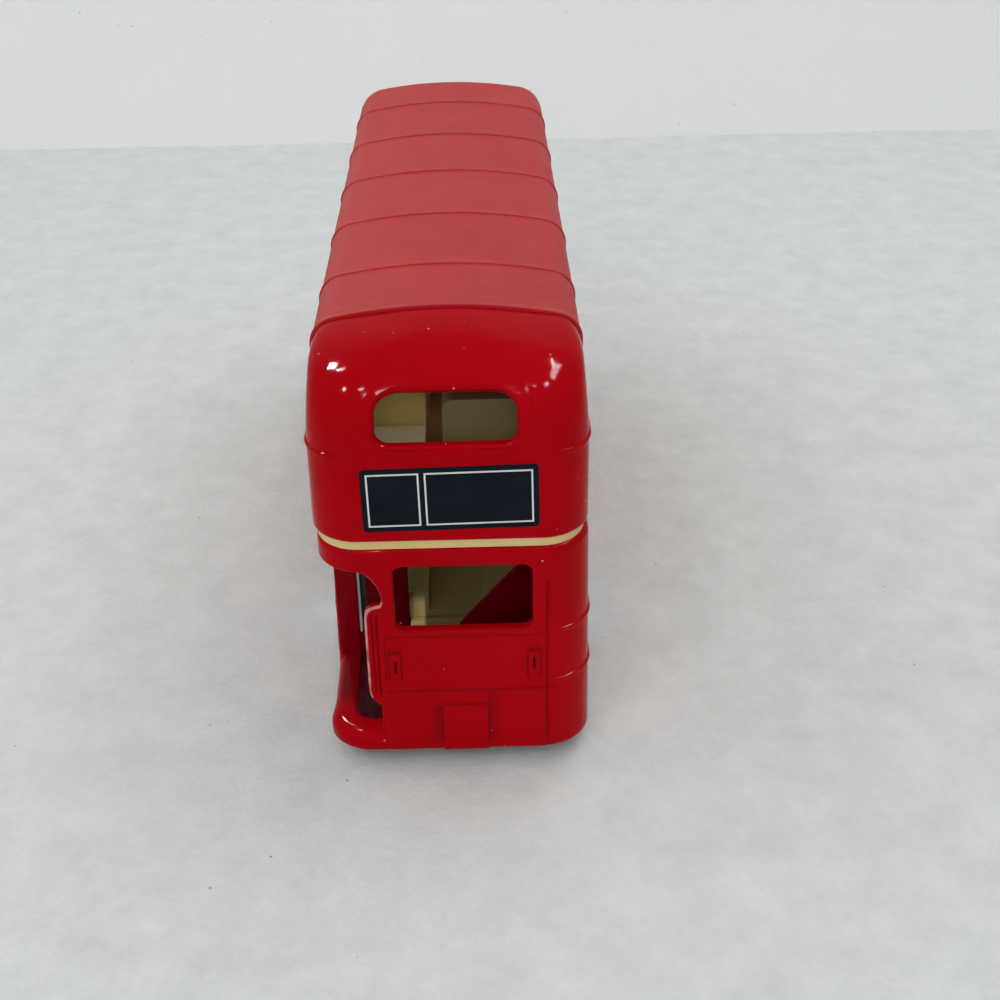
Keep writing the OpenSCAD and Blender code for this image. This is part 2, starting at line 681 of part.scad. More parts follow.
// A double seat facing forward, with a soft round front edge and a round top to its back
module seat(x0, x1, y, z, seat_h, back_h, depth) {
    along_x(x0, x1) union() {
        polygon([[y, z], [y + depth - 0.4, z], [y + depth, z + seat_h - 0.9], [y + depth - 0.6, z + seat_h],
            [y, z + seat_h]]);
        polygon([[y - 0.4, z], [y + back_t, z], [y + back_t, z + back_h - back_t / 2], [y, z + back_h - back_t / 2]]);
        translate([y + back_t / 2, z + back_h - back_t / 2]) circle(back_t / 2);
    }
}

module upper_interior() color(cream) {
    plan_prism(deck_hw, rear_y + band_inset, front_y - band_inset, rear_r - band_inset, front_r - band_inset,
        lower_top_z, deck_z);
    // Locating rails inside the upper casting, and inside the lower one between the bulkheads
    for (side = [0, 1])
        mirror([side, 0, 0]) {
            block([seat_x - rail_w, rail_y[0], deck_z - eps], [seat_x, rail_y[1], deck_z + rail_h]);
            block([inner_hw - fit_gap - rail_w, platform_y + wall + 2, lower_top_z - rail_h],
                [inner_hw - fit_gap, bulkhead_y - wall - 2, lower_top_z + eps]);
        }
    // Seats on the kerb side, then on the driver's side in front of the stair well
    for (i = [0:upper_rows - 1]) {
        y = upper_first_y + upper_row_pitch * i;
        seat(-seat_x + 0.6, -gangway_hw, y, deck_z - eps, upper_seat_h, upper_back_h, upper_row_pitch * 0.55);
        if (i > 0)
            seat(gangway_hw, seat_x - 0.6, y, deck_z - eps, upper_seat_h, upper_back_h, upper_row_pitch * 0.55);
    }
    // Rear bench beside the stair well
    block([-seat_x + 2.6, well_y0, deck_z - eps], [-gangway_hw, upper_first_y - 0.6, deck_z + upper_seat_h]);
    // Stair well casing
    along_y(well_y0, upper_first_y + 2)
        round_rect(well_x0, deck_z - eps, well_x1, deck_z + well_h, 0.1, well_round);
}

// Lower seat moulding: a plate with long seats over the rear wheels and cross seats in front
saloon_x = inner_hw - fit_gap;
saloon_y0 = platform_y + wall + fit_gap;
saloon_y1 = front_post_y - post_r - fit_gap;
bench_y1 = rear_axle_y + wheel_r + 4;
bench_x = 3.8;
lower_row_pitch = (saloon_y1 - 1 - bench_y1 - 1) / lower_rows;
well_r = wheel_r + wheel_gap + 0.2;
module lower_interior() color(cream) difference() {
    union() {
        block([-saloon_x, saloon_y0, saloon_z - plate_t], [saloon_x, saloon_y1, saloon_z]);
        for (side = [-1, 1]) {
            x0 = side < 0 ? -saloon_x : bench_x;
            block([x0, saloon_y0, saloon_z - eps], [x0 + saloon_x - bench_x, bench_y1, saloon_z + lower_seat_h]);
            back_x = side < 0 ? -saloon_x : saloon_x - back_t;
            block([back_x, saloon_y0, saloon_z - eps], [back_x + back_t, bench_y1, saloon_z + lower_back_h]);
        }
        for (i = [0:lower_rows - 1], side = [-1, 1]) {
            x0 = side < 0 ? -saloon_x : gangway_hw;
            seat(x0, x0 + saloon_x - gangway_hw, bench_y1 + 1.4 + lower_row_pitch * i, saloon_z - eps,
                lower_seat_h, lower_back_h, lower_row_pitch * 0.6);
        }
    }
    // Rear wheel wells
    for (side = [-1, 1])
        translate([side * (wheel_face_x + wheel_gap), rear_axle_y, wheel_r]) rotate([0, -90 * side, 0])
            cylinder(r = well_r, h = tyre_w + 2 * wheel_gap);
}

// Base plate with bearing blocks for both axles and pillars under the saloon floor
base_hw = inner_hw - fit_gap;
base_y0 = platform_y + wall + fit_gap;
base_y1 = front_y - wall - fit_gap;
wheel_in_x = wheel_face_x - tyre_w;
bearing_x = wheel_in_x - wheel_gap - 1.4;
bearing_w = 2;
bearing_l = 5.2;
pillar_r = 1.6;
pillar_y = [bench_y1 - 2, saloon_y1 - 6];
module base_plate() color(black) difference() {
    union() {
        plan_prism(base_hw, base_y0, base_y1, 0.2, front_r - wall, base_z, base_top_z);
        for (y = [front_axle_y, rear_axle_y], side = [-1, 1])
            translate([side * bearing_x, y, 0])
                along_x(-bearing_w / 2, bearing_w / 2)
                    round_rect(-bearing_l / 2, base_top_z - eps, bearing_l / 2, wheel_r + 3, 0.1, 2);
        for (y = pillar_y, side = [-1, 1])
            translate([side * 7, y, base_top_z - eps])
                cylinder(r = pillar_r, h = saloon_z - plate_t - base_top_z + eps);
    }
    for (y = [front_axle_y, rear_axle_y]) {
        translate([-reach, y, wheel_r]) rotate([0, 90, 0]) cylinder(r = axle_r + run_gap, h = 2 * reach);
        for (side = [-1, 1])
            translate([side * (wheel_in_x - wheel_gap + reach / 2), y, base_z])
                cube([reach, 2 * (wheel_r + wheel_gap), 4 * base_t], center = true);
    }
    for (y = [front_post_y, rear_post_y]) {
        translate([0, y, base_z - 1]) cylinder(r = rivet_r + fit_gap / 2, h = base_t + 2);
        translate([0, y, base_z - 1]) cylinder(r = rivet_head_r + fit_gap / 2, h = 1 + base_t / 2);
    }
}

// Two rivets with flat heads sunk in the base
module base_rivets() color(steel)
    for (y = [front_post_y, rear_post_y])
        translate([0, y, base_z]) {
            cylinder(r = rivet_head_r, h = base_t / 2);
            cylinder(r = rivet_r, h = base_t + rivet_l);
        }

// Axle pins end inside the wheel centres
hub_face_x = wheel_face_x - 0.5;
axle_hl = hub_face_x - 1;
module axle(y) {
    color(steel) translate([-axle_hl, y, wheel_r]) rotate([0, 90, 0]) cylinder(r = axle_r, h = 2 * axle_hl);
}
module front_axle() {
    axle(front_axle_y);
}
module rear_axle() {
    axle(rear_axle_y);
}

// Turn a wheel profile of (radius, distance along the axle) to one side of the bus
module wheel_at(side, y) {
    translate([0, y, wheel_r]) rotate([0, 90 * side, 0]) rotate_extrude() children();
}

// Wheel centre: a dished disc with a raised boss, pressed on the axle
hub_in_x = wheel_in_x + 0.5;
module hub(side, y) color(silver) wheel_at(side, y) polygon([
    [axle_r, hub_in_x], [hub_r, hub_in_x], [hub_r, hub_face_x], [hub_r - 0.7, hub_face_x],
    [hub_r - 1.2, hub_face_x - 1.1], [1.9, hub_face_x - 0.8], [1.7, hub_face_x - 0.1], [1.3, hub_face_x],
    [0, hub_face_x], [0, axle_hl], [axle_r, axle_hl]
]);
module hub_front_left() {
    hub(-1, front_axle_y);
}
module hub_front_right() {
    hub(1, front_axle_y);
}
module hub_rear_left() {
    hub(-1, rear_axle_y);
}
module hub_rear_right() {
    hub(1, rear_axle_y);
}

// Tyre: a ring with round shoulders and one groove round the tread
tyre_round = 0.9;
module tyre(side, y) color(black) wheel_at(side, y) difference() {
    union() {
        translate([hub_r, wheel_in_x + tyre_round]) square([wheel_r - hub_r, tyre_w - 2 * tyre_round]);
        translate([hub_r, wheel_in_x]) square([wheel_r - hub_r - tyre_round, tyre_w]);
        for (x = [wheel_in_x + tyre_round, wheel_face_x - tyre_round])
            translate([wheel_r - tyre_round, x]) circle(tyre_round);
    }
    translate([wheel_r - 0.3, (wheel_in_x + wheel_face_x) / 2 - 0.25]) square([1, 0.5]);
}
module tyre_front_left() {
    tyre(-1, front_axle_y);
}
module tyre_front_right() {
    tyre(1, front_axle_y);
}
module tyre_rear_left() {
    tyre(-1, rear_axle_y);
}
module tyre_rear_right() {
    tyre(1, rear_axle_y);
}

// Radiator grille: a framed plate with upright slats and two pegs
frame_w = 0.9;
slat_drop = 1.2;
module radiator_grille() color(silver) {
    difference() {
        along_y(front_y, front_y + grille_t)
            round_rect(grille_x0, grille_z0, grille_x1, grille_z1, grille_foot_r, grille_head_r);
        slat_pitch = (grille_x1 - grille_x0 - 2 * frame_w) / slat_count;
        for (i = [0:slat_count - 1])
            block([grille_x0 + frame_w + slat_pitch * (i + 0.22), front_y + grille_t / 2, grille_z0 + frame_w],
                [grille_x0 + frame_w + slat_pitch * (i + 0.78), front_y + grille_t + 1, grille_z1 - frame_w - slat_drop]);
    }
    front_pegs(peg_r, front_y - wall);
}

// Headlamps: a rim with a domed face on a peg
module headlamps() color(silver) {
    for (side = [-1, 1])
        translate([side * lamp_x, front_y, lamp_z]) rotate([-90, 0, 0]) rotate_extrude()
            polygon([[0, 0], [lamp_r, 0], [lamp_r, 0.3], [lamp_r - 0.35, 0.3], [lamp_r - 0.7, 0.42], [0.5, 0.55], [0, 0.56]]);
    lamp_pegs(peg_r, front_y - wall);
}

lower_body();
upper_body();
roof_cover();
upper_interior();
lower_interior();
base_plate();
base_rivets();
front_axle();
rear_axle();
hub_front_left();
hub_front_right();
hub_rear_left();
hub_rear_right();
tyre_front_left();
tyre_front_right();
tyre_rear_left();
tyre_rear_right();
radiator_grille();
headlamps();
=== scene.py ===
import math

import bmesh
import bpy
import numpy as np
from mathutils import Matrix, Vector


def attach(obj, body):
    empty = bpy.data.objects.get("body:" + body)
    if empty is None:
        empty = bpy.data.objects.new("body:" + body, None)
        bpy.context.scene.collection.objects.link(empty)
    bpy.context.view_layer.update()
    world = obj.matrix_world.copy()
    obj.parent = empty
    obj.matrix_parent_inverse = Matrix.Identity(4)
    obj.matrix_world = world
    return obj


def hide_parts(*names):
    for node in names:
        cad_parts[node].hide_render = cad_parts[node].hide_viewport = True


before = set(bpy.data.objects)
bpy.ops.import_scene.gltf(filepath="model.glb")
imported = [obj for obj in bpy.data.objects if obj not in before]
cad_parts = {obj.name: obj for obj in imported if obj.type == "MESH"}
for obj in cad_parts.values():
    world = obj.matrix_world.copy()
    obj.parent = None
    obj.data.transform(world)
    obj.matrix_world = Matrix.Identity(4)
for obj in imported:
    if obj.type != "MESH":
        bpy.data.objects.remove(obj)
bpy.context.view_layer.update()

# Sizes in millimetres, in the part's own frame, as in its source
MM = 0.001
REAR, FRONT = -63.75, 63.4
LOW_HW, UP_HW, WALL = 17.6, 17.4, 1.3
FOOT_Z, LOW_TOP, DECK_Z, BELT_Z, SEAT_Z = 2.8, 35.6, 36.8, 48.8, 55.9
SILL, WIN_TOP = 23.8, 32.8
UP_SILL, UP_WIN_TOP = 50.0, 55.2
ROOF_TOP, LIP_Y = 62.15, REAR + 15.5
PLATFORM_Y, PLATFORM_Z, HEAD_Z = REAR + 15.6, 7.5, 32.2
BULKHEAD_Y, BONNET_Z, WING_Z, CANOPY_Z = FRONT - 18.8, 25.2, 18.2, 33.4
BONNET_X, CAB_X = -13.8, 1.6
RIB0, PITCH, WIN_L = REAR + 29.9, 19.75, 16.2
PILLAR = PITCH - WIN_L
RIBS = [RIB0 + PITCH * i for i in range(5)]
REAR_R, FRONT_R = 6.0, 6.5


# Small helpers
MERGE = 0.02
BEVEL_FROM, BEVEL_SEGMENTS, BEVEL_PROFILE, PRISM_SHARP = 0.5, 3, 0.6, 40


def ease(t):
    t = np.clip(t, 0, 1)
    return t * t * (3 - 2 * t)


def band(v, lo, hi, soft):
    """1 between lo and hi, easing to 0 over soft on each side."""
    return ease((v - lo) / soft + 0.5) * ease((hi - v) / soft + 0.5)


def lines(values, lo, hi, gap):
    """Sorted unique grid lines from lo to hi with no step over gap."""
    keep = [lo]
    for v in sorted(values):
        if lo + MERGE < v < hi - MERGE and v - keep[-1] > MERGE:
            keep.append(v)
    keep.append(hi)
    out = []
    for a, b in zip(keep, keep[1:]):
        n = max(1, math.ceil((b - a) / gap))
        out += [a + (b - a) * i / n for i in range(n)]
    return np.array(out + [hi])


def put(name, mesh, mat, sharp):
    """Puts a mesh in the scene, riding on the bus. Edges sharper than an angle stay sharp."""
    mesh.polygons.foreach_set("use_smooth", [True] * len(mesh.polygons))
    mesh.set_sharp_from_angle(angle=math.radians(sharp))
    mesh.materials.append(mat)
    ob = bpy.data.objects.new(name, mesh)
    bpy.context.scene.collection.objects.link(ob)
    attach(ob, "bus")
    return ob


def add_mesh(name, verts, faces, mat, sharp=35, paint=None):
    """A mesh from points in millimetres, with layers of paint as values on its points."""
    mesh = bpy.data.meshes.new(name)
    mesh.from_pydata([tuple(float(c) * MM for c in v) for v in verts], [], faces)
    for layer, values in (paint or {}).items():
        data = mesh.attributes.new(layer, "FLOAT", "POINT").data
        data.foreach_set("value", [float(v) for v in values])
    bm = bmesh.new()
    bm.from_mesh(mesh)
    bmesh.ops.remove_doubles(bm, verts=bm.verts, dist=2e-6)
    bmesh.ops.dissolve_degenerate(bm, edges=bm.edges, dist=1e-7)
    bm.to_mesh(mesh)
    bm.free()
    return put(name, mesh, mat, sharp)


def prism(name, profile, axis, lo, hi, mat, bevel, holes=()):
    """A closed profile pushed along an axis, with rounded edges.
    The profile's points give the two other axes in order."""
    bm = bmesh.new()

    def at(p, t):
        return {"x": (t, p[0], p[1]), "y": (p[0], t, p[1]), "z": (p[0], p[1], t)}[axis]

    ends = []
    for t in (lo, hi):
        ends.append([[bm.verts.new(at(p, t)) for p in loop] for loop in (profile, *holes)])
    for end in ends:
        rim = [bm.edges.new((ring[i], ring[(i + 1) % len(ring)])) for ring in end for i in range(len(ring))]
        bmesh.ops.triangle_fill(bm, use_beauty=True, use_dissolve=True, edges=rim)
    for a, b in zip(*ends):
        for i in range(len(a)):
            j = (i + 1) % len(a)
            bm.faces.new((a[i], a[j], b[j], b[i]))
    bmesh.ops.recalc_face_normals(bm, faces=bm.faces)
    edges = [e for e in bm.edges if len(e.link_faces) == 2 and e.calc_face_angle(0) > BEVEL_FROM]
    bmesh.ops.bevel(bm, geom=edges, offset=bevel, segments=BEVEL_SEGMENTS, profile=BEVEL_PROFILE,
                    affect="EDGES", clamp_overlap=True)
    bmesh.ops.scale(bm, vec=(MM, MM, MM), verts=bm.verts)
    mesh = bpy.data.meshes.new(name)
    bm.to_mesh(mesh)
    bm.free()
    return put(name, mesh, mat, PRISM_SHARP)


def rect(x0, y0, x1, y1):
    return [(x0, y0), (x1, y0), (x1, y1), (x0, y1)]


def arc(cx, cy, r, angles):
    """Points on an arc, at angles in degrees."""
    return [(cx + r * math.cos(math.radians(a)), cy + r * math.sin(math.radians(a))) for a in angles]


def round_rect(x0, y0, x1, y1, r):
    corners = ((x1 - r, y0 + r, 270), (x1 - r, y1 - r, 0), (x0 + r, y1 - r, 90), (x0 + r, y0 + r, 180))
    pts = []
    for cx, cy, turn in corners:
        pts += arc(cx, cy, r, range(turn, turn + 91, 18))
    return pts


# Materials
def new_mat(name):
    mat = bpy.data.materials.new(name)
    mat.use_nodes = True
    nt = mat.node_tree
    return mat, nt, nt.nodes["Principled BSDF"]


def node(nt, kind, **values):
    n = nt.nodes.new(kind)
    for k, v in values.items():
        if k in n.inputs:
            n.inputs[k].default_value = v
        else:
            setattr(n, k, v)
    return n


def noise(nt, scale, detail=4.0, rough=0.55):
    co = node(nt, "ShaderNodeTexCoord")
    n = node(nt, "ShaderNodeTexNoise", Scale=scale, Detail=detail, Roughness=rough)
    nt.links.new(co.outputs["Object"], n.inputs["Vector"])
    return n.outputs["Fac"]


def ramp(nt, fac, stops):
    r = nt.nodes.new("ShaderNodeValToRGB")
    els = r.color_ramp.elements
    while len(els) < len(stops):
        els.new(0.5)
    for e, (pos, col) in zip(els, stops):
        e.position = pos
        e.color = (*col, 1) if len(col) == 3 else col
    nt.links.new(fac, r.inputs["Fac"])
    return r.outputs["Color"]


def mix(nt, fac, a, b):
    m = nt.nodes.new("ShaderNodeMix")
    m.data_type = "RGBA"
    nt.links.new(fac, m.inputs["Factor"])
    for sock, v in (("A", a), ("B", b)):
        s = [i for i in m.inputs if i.name == sock and i.type == "RGBA"][0]
        if isinstance(v, tuple):
            s.default_value = (*v, 1)
        else:
            nt.links.new(v, s)
    return [o for o in m.outputs if o.type == "RGBA"][0]


def bump(nt, bsdf, height, strength, distance):
    b = node(nt, "ShaderNodeBump", Strength=strength, Distance=distance)
    nt.links.new(height, b.inputs["Height"])
    nt.links.new(b.outputs["Normal"], bsdf.inputs["Normal"])


def dots(nt, scale, size):
    """Sparse round specks: 1 inside a speck."""
    co = node(nt, "ShaderNodeTexCoord")
    v = node(nt, "ShaderNodeTexVoronoi", Scale=scale)
    nt.links.new(co.outputs["Object"], v.inputs["Vector"])
    return ramp(nt, v.outputs["Distance"], [(size * 0.6, (1, 1, 1)), (size, (0, 0, 0))])


def along(nt, axis, lo, hi):
    """0 to 1 between two places on an axis."""
    co = node(nt, "ShaderNodeTexCoord")
    xyz = node(nt, "ShaderNodeSeparateXYZ")
    nt.links.new(co.outputs["Object"], xyz.inputs["Vector"])
    share = node(nt, "ShaderNodeMapRange", **{"From Min": lo * MM, "From Max": hi * MM})
    nt.links.new(xyz.outputs[axis], share.inputs["Value"])
    return share.outputs["Result"]


def both(nt, *parts):
    """The product of two or more values."""
    out = parts[0]
    for part in parts[1:]:
        m = node(nt, "ShaderNodeMath", operation="MULTIPLY")
        nt.links.new(out, m.inputs[0])
        nt.links.new(part, m.inputs[1])
        out = m.outputs["Value"]
    return out


def grey(v):
    return (v, v, v)


def roughness(nt, bsdf, scale, detail, low, high, start=0.2):
    """Roughness that wanders between two values."""
    wander = ramp(nt, noise(nt, scale, detail), [(start, grey(low)), (0.8, grey(high))])
    nt.links.new(wander, bsdf.inputs["Roughness"])


OFF, ON = grey(0), grey(1)
# Where paint and plastic change, and where painted shade and painted light fall: an axis, then the places
# where the change begins and ends
KERB_SHADE, KERB_DIRT = ("X", -16.5, -13.8), ("X", -14.6, -12.2)
SEAT_END = (("X", -6.8, -6.4), ("X", -4.2, -4.6), ("Z", 16.8, 15.2), ("Y", -45.5, -46.0))
DECK_REAR = (("Y", -40.5, -42.5), ("Z", 36.9, 37.5))
STAIR_BOX, BENCH = ("X", -2.1, -1.3), ("X", -2.5, -3.2)


def enamel(name, dark, light, shade_and_grime=False):
    """Gloss paint with pale specks painted as glints, painted shade and dirt in its grooves, and worn edges.
    With shade_and_grime it also darkens towards the kerb as painted shade, with dirt there.
    """
    mat, nt, bsdf = new_mat(name)
    tone = ramp(nt, noise(nt, 45, 3), [(0.3, dark), (0.7, light)])
    # Pale specks: painted glints.
    col = mix(nt, dots(nt, 330, 0.045), tone, (0.75, 0.42, 0.38))
    # Painted shade in the grooves, with some dirt, and on the platform's rim, from the points' shade values.
    shade = node(nt, "ShaderNodeAttribute", attribute_name="shade")
    col = mix(nt, shade.outputs["Fac"], col, (0.03, 0.002, 0.006))
    wear = node(nt, "ShaderNodeAttribute", attribute_name="wear")
    edge = ramp(nt, wear.outputs["Fac"], [(0.15, OFF), (0.4, ON)])
    patchy = ramp(nt, noise(nt, 500, 3), [(0.35, grey(0.3)), (0.6, ON)])
    col = mix(nt, both(nt, edge, patchy), col, (0.66, 0.3, 0.29))
    if shade_and_grime:
        # Painted shade: darker towards the kerb. Then dirt near the kerb.
        col = mix(nt, along(nt, *KERB_SHADE), col, (0.07, 0.0006, 0.008))
        dirt = ramp(nt, noise(nt, 700, 8, 0.75), [(0.42, OFF), (0.52, ON)])
        col = mix(nt, both(nt, dirt, along(nt, *KERB_DIRT)), col, (0.034, 0.02, 0.018))
    nt.links.new(col, bsdf.inputs["Base Color"])
    roughness(nt, bsdf, 160, 5, 0.05, 0.11, 0.25)
    bsdf.inputs["Specular IOR Level"].default_value = 0.04
    bump(nt, bsdf, noise(nt, 230, 3), 0.16, 0.0003)
    return mat


def roof_plastic():
    """Dull, slightly dusty plastic."""
    mat, nt, bsdf = new_mat("roof_red")
    tone = ramp(nt, noise(nt, 38, 5, 0.6), [(0.28, (0.42, 0.0085, 0.012)), (0.72, (0.48, 0.0145, 0.018))])
    dust = ramp(nt, noise(nt, 260, 6, 0.7), [(0.55, OFF), (0.95, grey(0.25))])
    nt.links.new(mix(nt, dust, tone, (0.5, 0.2, 0.2)), bsdf.inputs["Base Color"])
    roughness(nt, bsdf, 120, 5, 0.46, 0.6)
    bsdf.inputs["Specular IOR Level"].default_value = 0.15
    bump(nt, bsdf, noise(nt, 900, 3), 0.12, 0.0002)
    return mat


def cream_plastic(name, dark, light, painted_light=None, shaded=False):
    mat, nt, bsdf = new_mat(name)
    col = ramp(nt, noise(nt, 70, 4), [(0.3, dark), (0.75, light)])
    if painted_light:
        # Painted light: the rear seat's end by the doorway is lighter, as if lit through the doorway
        col = mix(nt, both(nt, *(along(nt, *span) for span in SEAT_END)), col, painted_light)
    if shaded:
        # Rear end of the upper deck: painted shade darkens the stair well's box and painted light brightens
        # the bench beside it
        rear = both(nt, *(along(nt, *span) for span in DECK_REAR))
        bench = both(nt, rear, along(nt, *BENCH))
        col = mix(nt, both(nt, rear, along(nt, *STAIR_BOX)), col, (0.22, 0.17, 0.075))
        col = mix(nt, bench, col, (0.95, 0.8, 0.26))
        # Painted light: the bench's upward faces are lighter still.
        geo = node(nt, "ShaderNodeNewGeometry")
        up = node(nt, "ShaderNodeSeparateXYZ")
        nt.links.new(geo.outputs["Normal"], up.inputs["Vector"])
        flat = ramp(nt, up.outputs["Z"], [(0.6, OFF), (0.9, ON)])
        col = mix(nt, both(nt, flat, bench), col, (1.0, 0.92, 0.62))
    nt.links.new(col, bsdf.inputs["Base Color"])
    roughness(nt, bsdf, 300, 3, 0.36, 0.52)
    bsdf.inputs["Subsurface Weight"].default_value = 0.15
    bsdf.inputs["Subsurface Radius"].default_value = (0.002, 0.0012, 0.0006)
    bump(nt, bsdf, noise(nt, 700, 2), 0.06, 0.0002)
    return mat


def coat(name, dark, light, r0, r1, scale=400, metallic=1.0):
    """A plain finish whose tone and roughness wander between two values."""
    mat, nt, bsdf = new_mat(name)
    nt.links.new(ramp(nt, noise(nt, scale, 5), [(0.3, dark), (0.7, light)]), bsdf.inputs["Base Color"])
    roughness(nt, bsdf, scale * 1.7, 4, r0, r1)
    bsdf.inputs["Metallic"].default_value = metallic
    bump(nt, bsdf, noise(nt, scale * 3, 3), 0.08, 0.0001)
    return mat


BUS_RED = (0.36, 0.0003, 0.003), (0.415, 0.0006, 0.005)
RED = enamel("red_enamel", *BUS_RED)
GRIMY_SHADED = enamel("platform_enamel", *BUS_RED, shade_and_grime=True)
# Darker copies of the red: painted shade for the kerb pillar and for the walls and step inside the platform.
PILLAR_SHADED_RED = enamel("pillar_shaded_enamel", (0.2, 0.0003, 0.005), (0.26, 0.0006, 0.008))
INNER_SHADED = enamel("inner_shaded_enamel", (0.1, 0.0003, 0.004), (0.14, 0.0006, 0.006))
ROOF = roof_plastic()
CREAM = cream_plastic("cream_plastic", (0.64, 0.47, 0.19), (0.76, 0.6, 0.29), shaded=True)
# A darker copy of the cream, painted shade, for the lower deck's seats and the step's tread, with painted
# light on the rear seat's end.
SHADED_CREAM = cream_plastic("cream_seats_shaded", (0.19, 0.15, 0.05), (0.25, 0.2, 0.075), painted_light=(0.85, 0.68, 0.28))
STEEL = coat("steel", (0.42, 0.42, 0.43), (0.58, 0.58, 0.6), 0.25, 0.4)
HUB = coat("hub_silver", (0.5, 0.5, 0.52), (0.66, 0.66, 0.68), 0.28, 0.45)
BRIGHT = coat("bright_plate", (0.68, 0.68, 0.7), (0.82, 0.82, 0.84), 0.08, 0.2)
WORN = coat("bare_edge", (0.36, 0.37, 0.36), (0.5, 0.5, 0.48), 0.4, 0.6, 300, 0.0)
BLACK = coat("black_base", (0.012, 0.012, 0.013), (0.03, 0.03, 0.032), 0.35, 0.55, 300, 0.0)
TYRE = coat("tyre_black", (0.012, 0.012, 0.012), (0.028, 0.028, 0.028), 0.65, 0.85, 500, 0.0)
for name, mat in (
    ("upper_interior", CREAM), ("lower_interior", SHADED_CREAM), ("base_plate", BLACK), ("base_rivets", STEEL),
    ("front_axle", STEEL), ("rear_axle", STEEL), ("radiator_grille", BRIGHT), ("headlamps", BRIGHT),
    *((f"{kind}_{end}_{side}", m) for kind, m in (("hub", HUB), ("tyre", TYRE))
      for end in ("front", "rear") for side in ("left", "right")),
):
    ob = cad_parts[name]
    ob.data.materials.clear()
    ob.data.materials.append(mat)
EDGE_ROUNDS = {"upper_interior": 0.25, "lower_interior": 0.22, "base_plate": 0.15, "radiator_grille": 0.06}
for name, size in EDGE_ROUNDS.items():
    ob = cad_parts[name]
    weld = ob.modifiers.new("weld", "WELD")
    weld.merge_threshold = 2e-6
    bev = ob.modifiers.new("edges", "BEVEL")
    bev.width = size * MM
    bev.segments = BEVEL_SEGMENTS
    bev.limit_method = "ANGLE"
    bev.angle_limit = math.radians(50)
    bev.harden_normals = True


# Shells: a grid wrapped round the bus, with rolled window holes and relief
ROLL_STEPS = (0, 0.134, 0.5, 1)


class Hole:
    """A round-cornered hole in (u, v): u runs round the bus, v up it."""

    def __init__(self, u0, v0, u1, v1, r0, r1=None, roll=0.35, fade=0.9, worn=None):
        self.u0, self.u1 = min(u0, u1), max(u0, u1)
        self.v0, self.v1 = v0, v1
        self.r0, self.r1 = r0, r1 if r1 is not None else r0
        self.roll, self.fade, self.worn = roll, fade, worn

    def grid(self):
        def edge(e, out, r):
            n = max(5, math.ceil(1.6 * r))
            inner = [e - out * r * k / n for k in range(1, n + 1)]
            outer = [e + out * self.roll * k for k in ROLL_STEPS]
            return inner + outer + [e + out * (self.roll + self.fade)]

        rm = max(self.r0, self.r1)
        us = edge(self.u0, -1, rm) + edge(self.u1, 1, rm)
        vs = edge(self.v0, -1, self.r0) + edge(self.v1, 1, self.r1)
        return us, vs

    def away(self, U, V):
        """Distance outside the hole's box."""
        return np.maximum.reduce([self.u0 - U, U - self.u1, self.v0 - V, V - self.v1])

    def rounded(self, U, V):
        """Pulls the grid round the hole's corners into arcs."""
        U2, V2 = U.copy(), V.copy()
        for sx in (-1, 1):
            for sy, r in ((-1, self.r0), (1, self.r1)):
                cu = self.u1 - r if sx > 0 else self.u0 + r
                cv = self.v1 - r if sy > 0 else self.v0 + r
                a, b = (U - cu) * sx, (V - cv) * sy
                m, n = np.maximum(a, b), np.minimum(a, b)
                hit = (a > 0) & (b > 0) & (m < r + self.roll + self.fade)
                w = np.where(hit, 1 - ease((m - r - self.roll) / self.fade), 0)
                th = math.pi / 4 * n / np.maximum(m, 1e-6)
                big, small = m * np.cos(th), m * np.sin(th)
                a2 = np.where(a >= b, big, small)
                b2 = np.where(a >= b, small, big)
                U2 += sx * w * (a2 - a)
                V2 += sy * w * (b2 - b)
        return U2, V2


def rolled(d, roll):
    """How deep a rolled edge has gone at distance d from its hole."""
    k = np.clip(1 - d / roll, 0, 1)
    return roll * (1 - np.sqrt(np.maximum(0, 1 - k * k)))


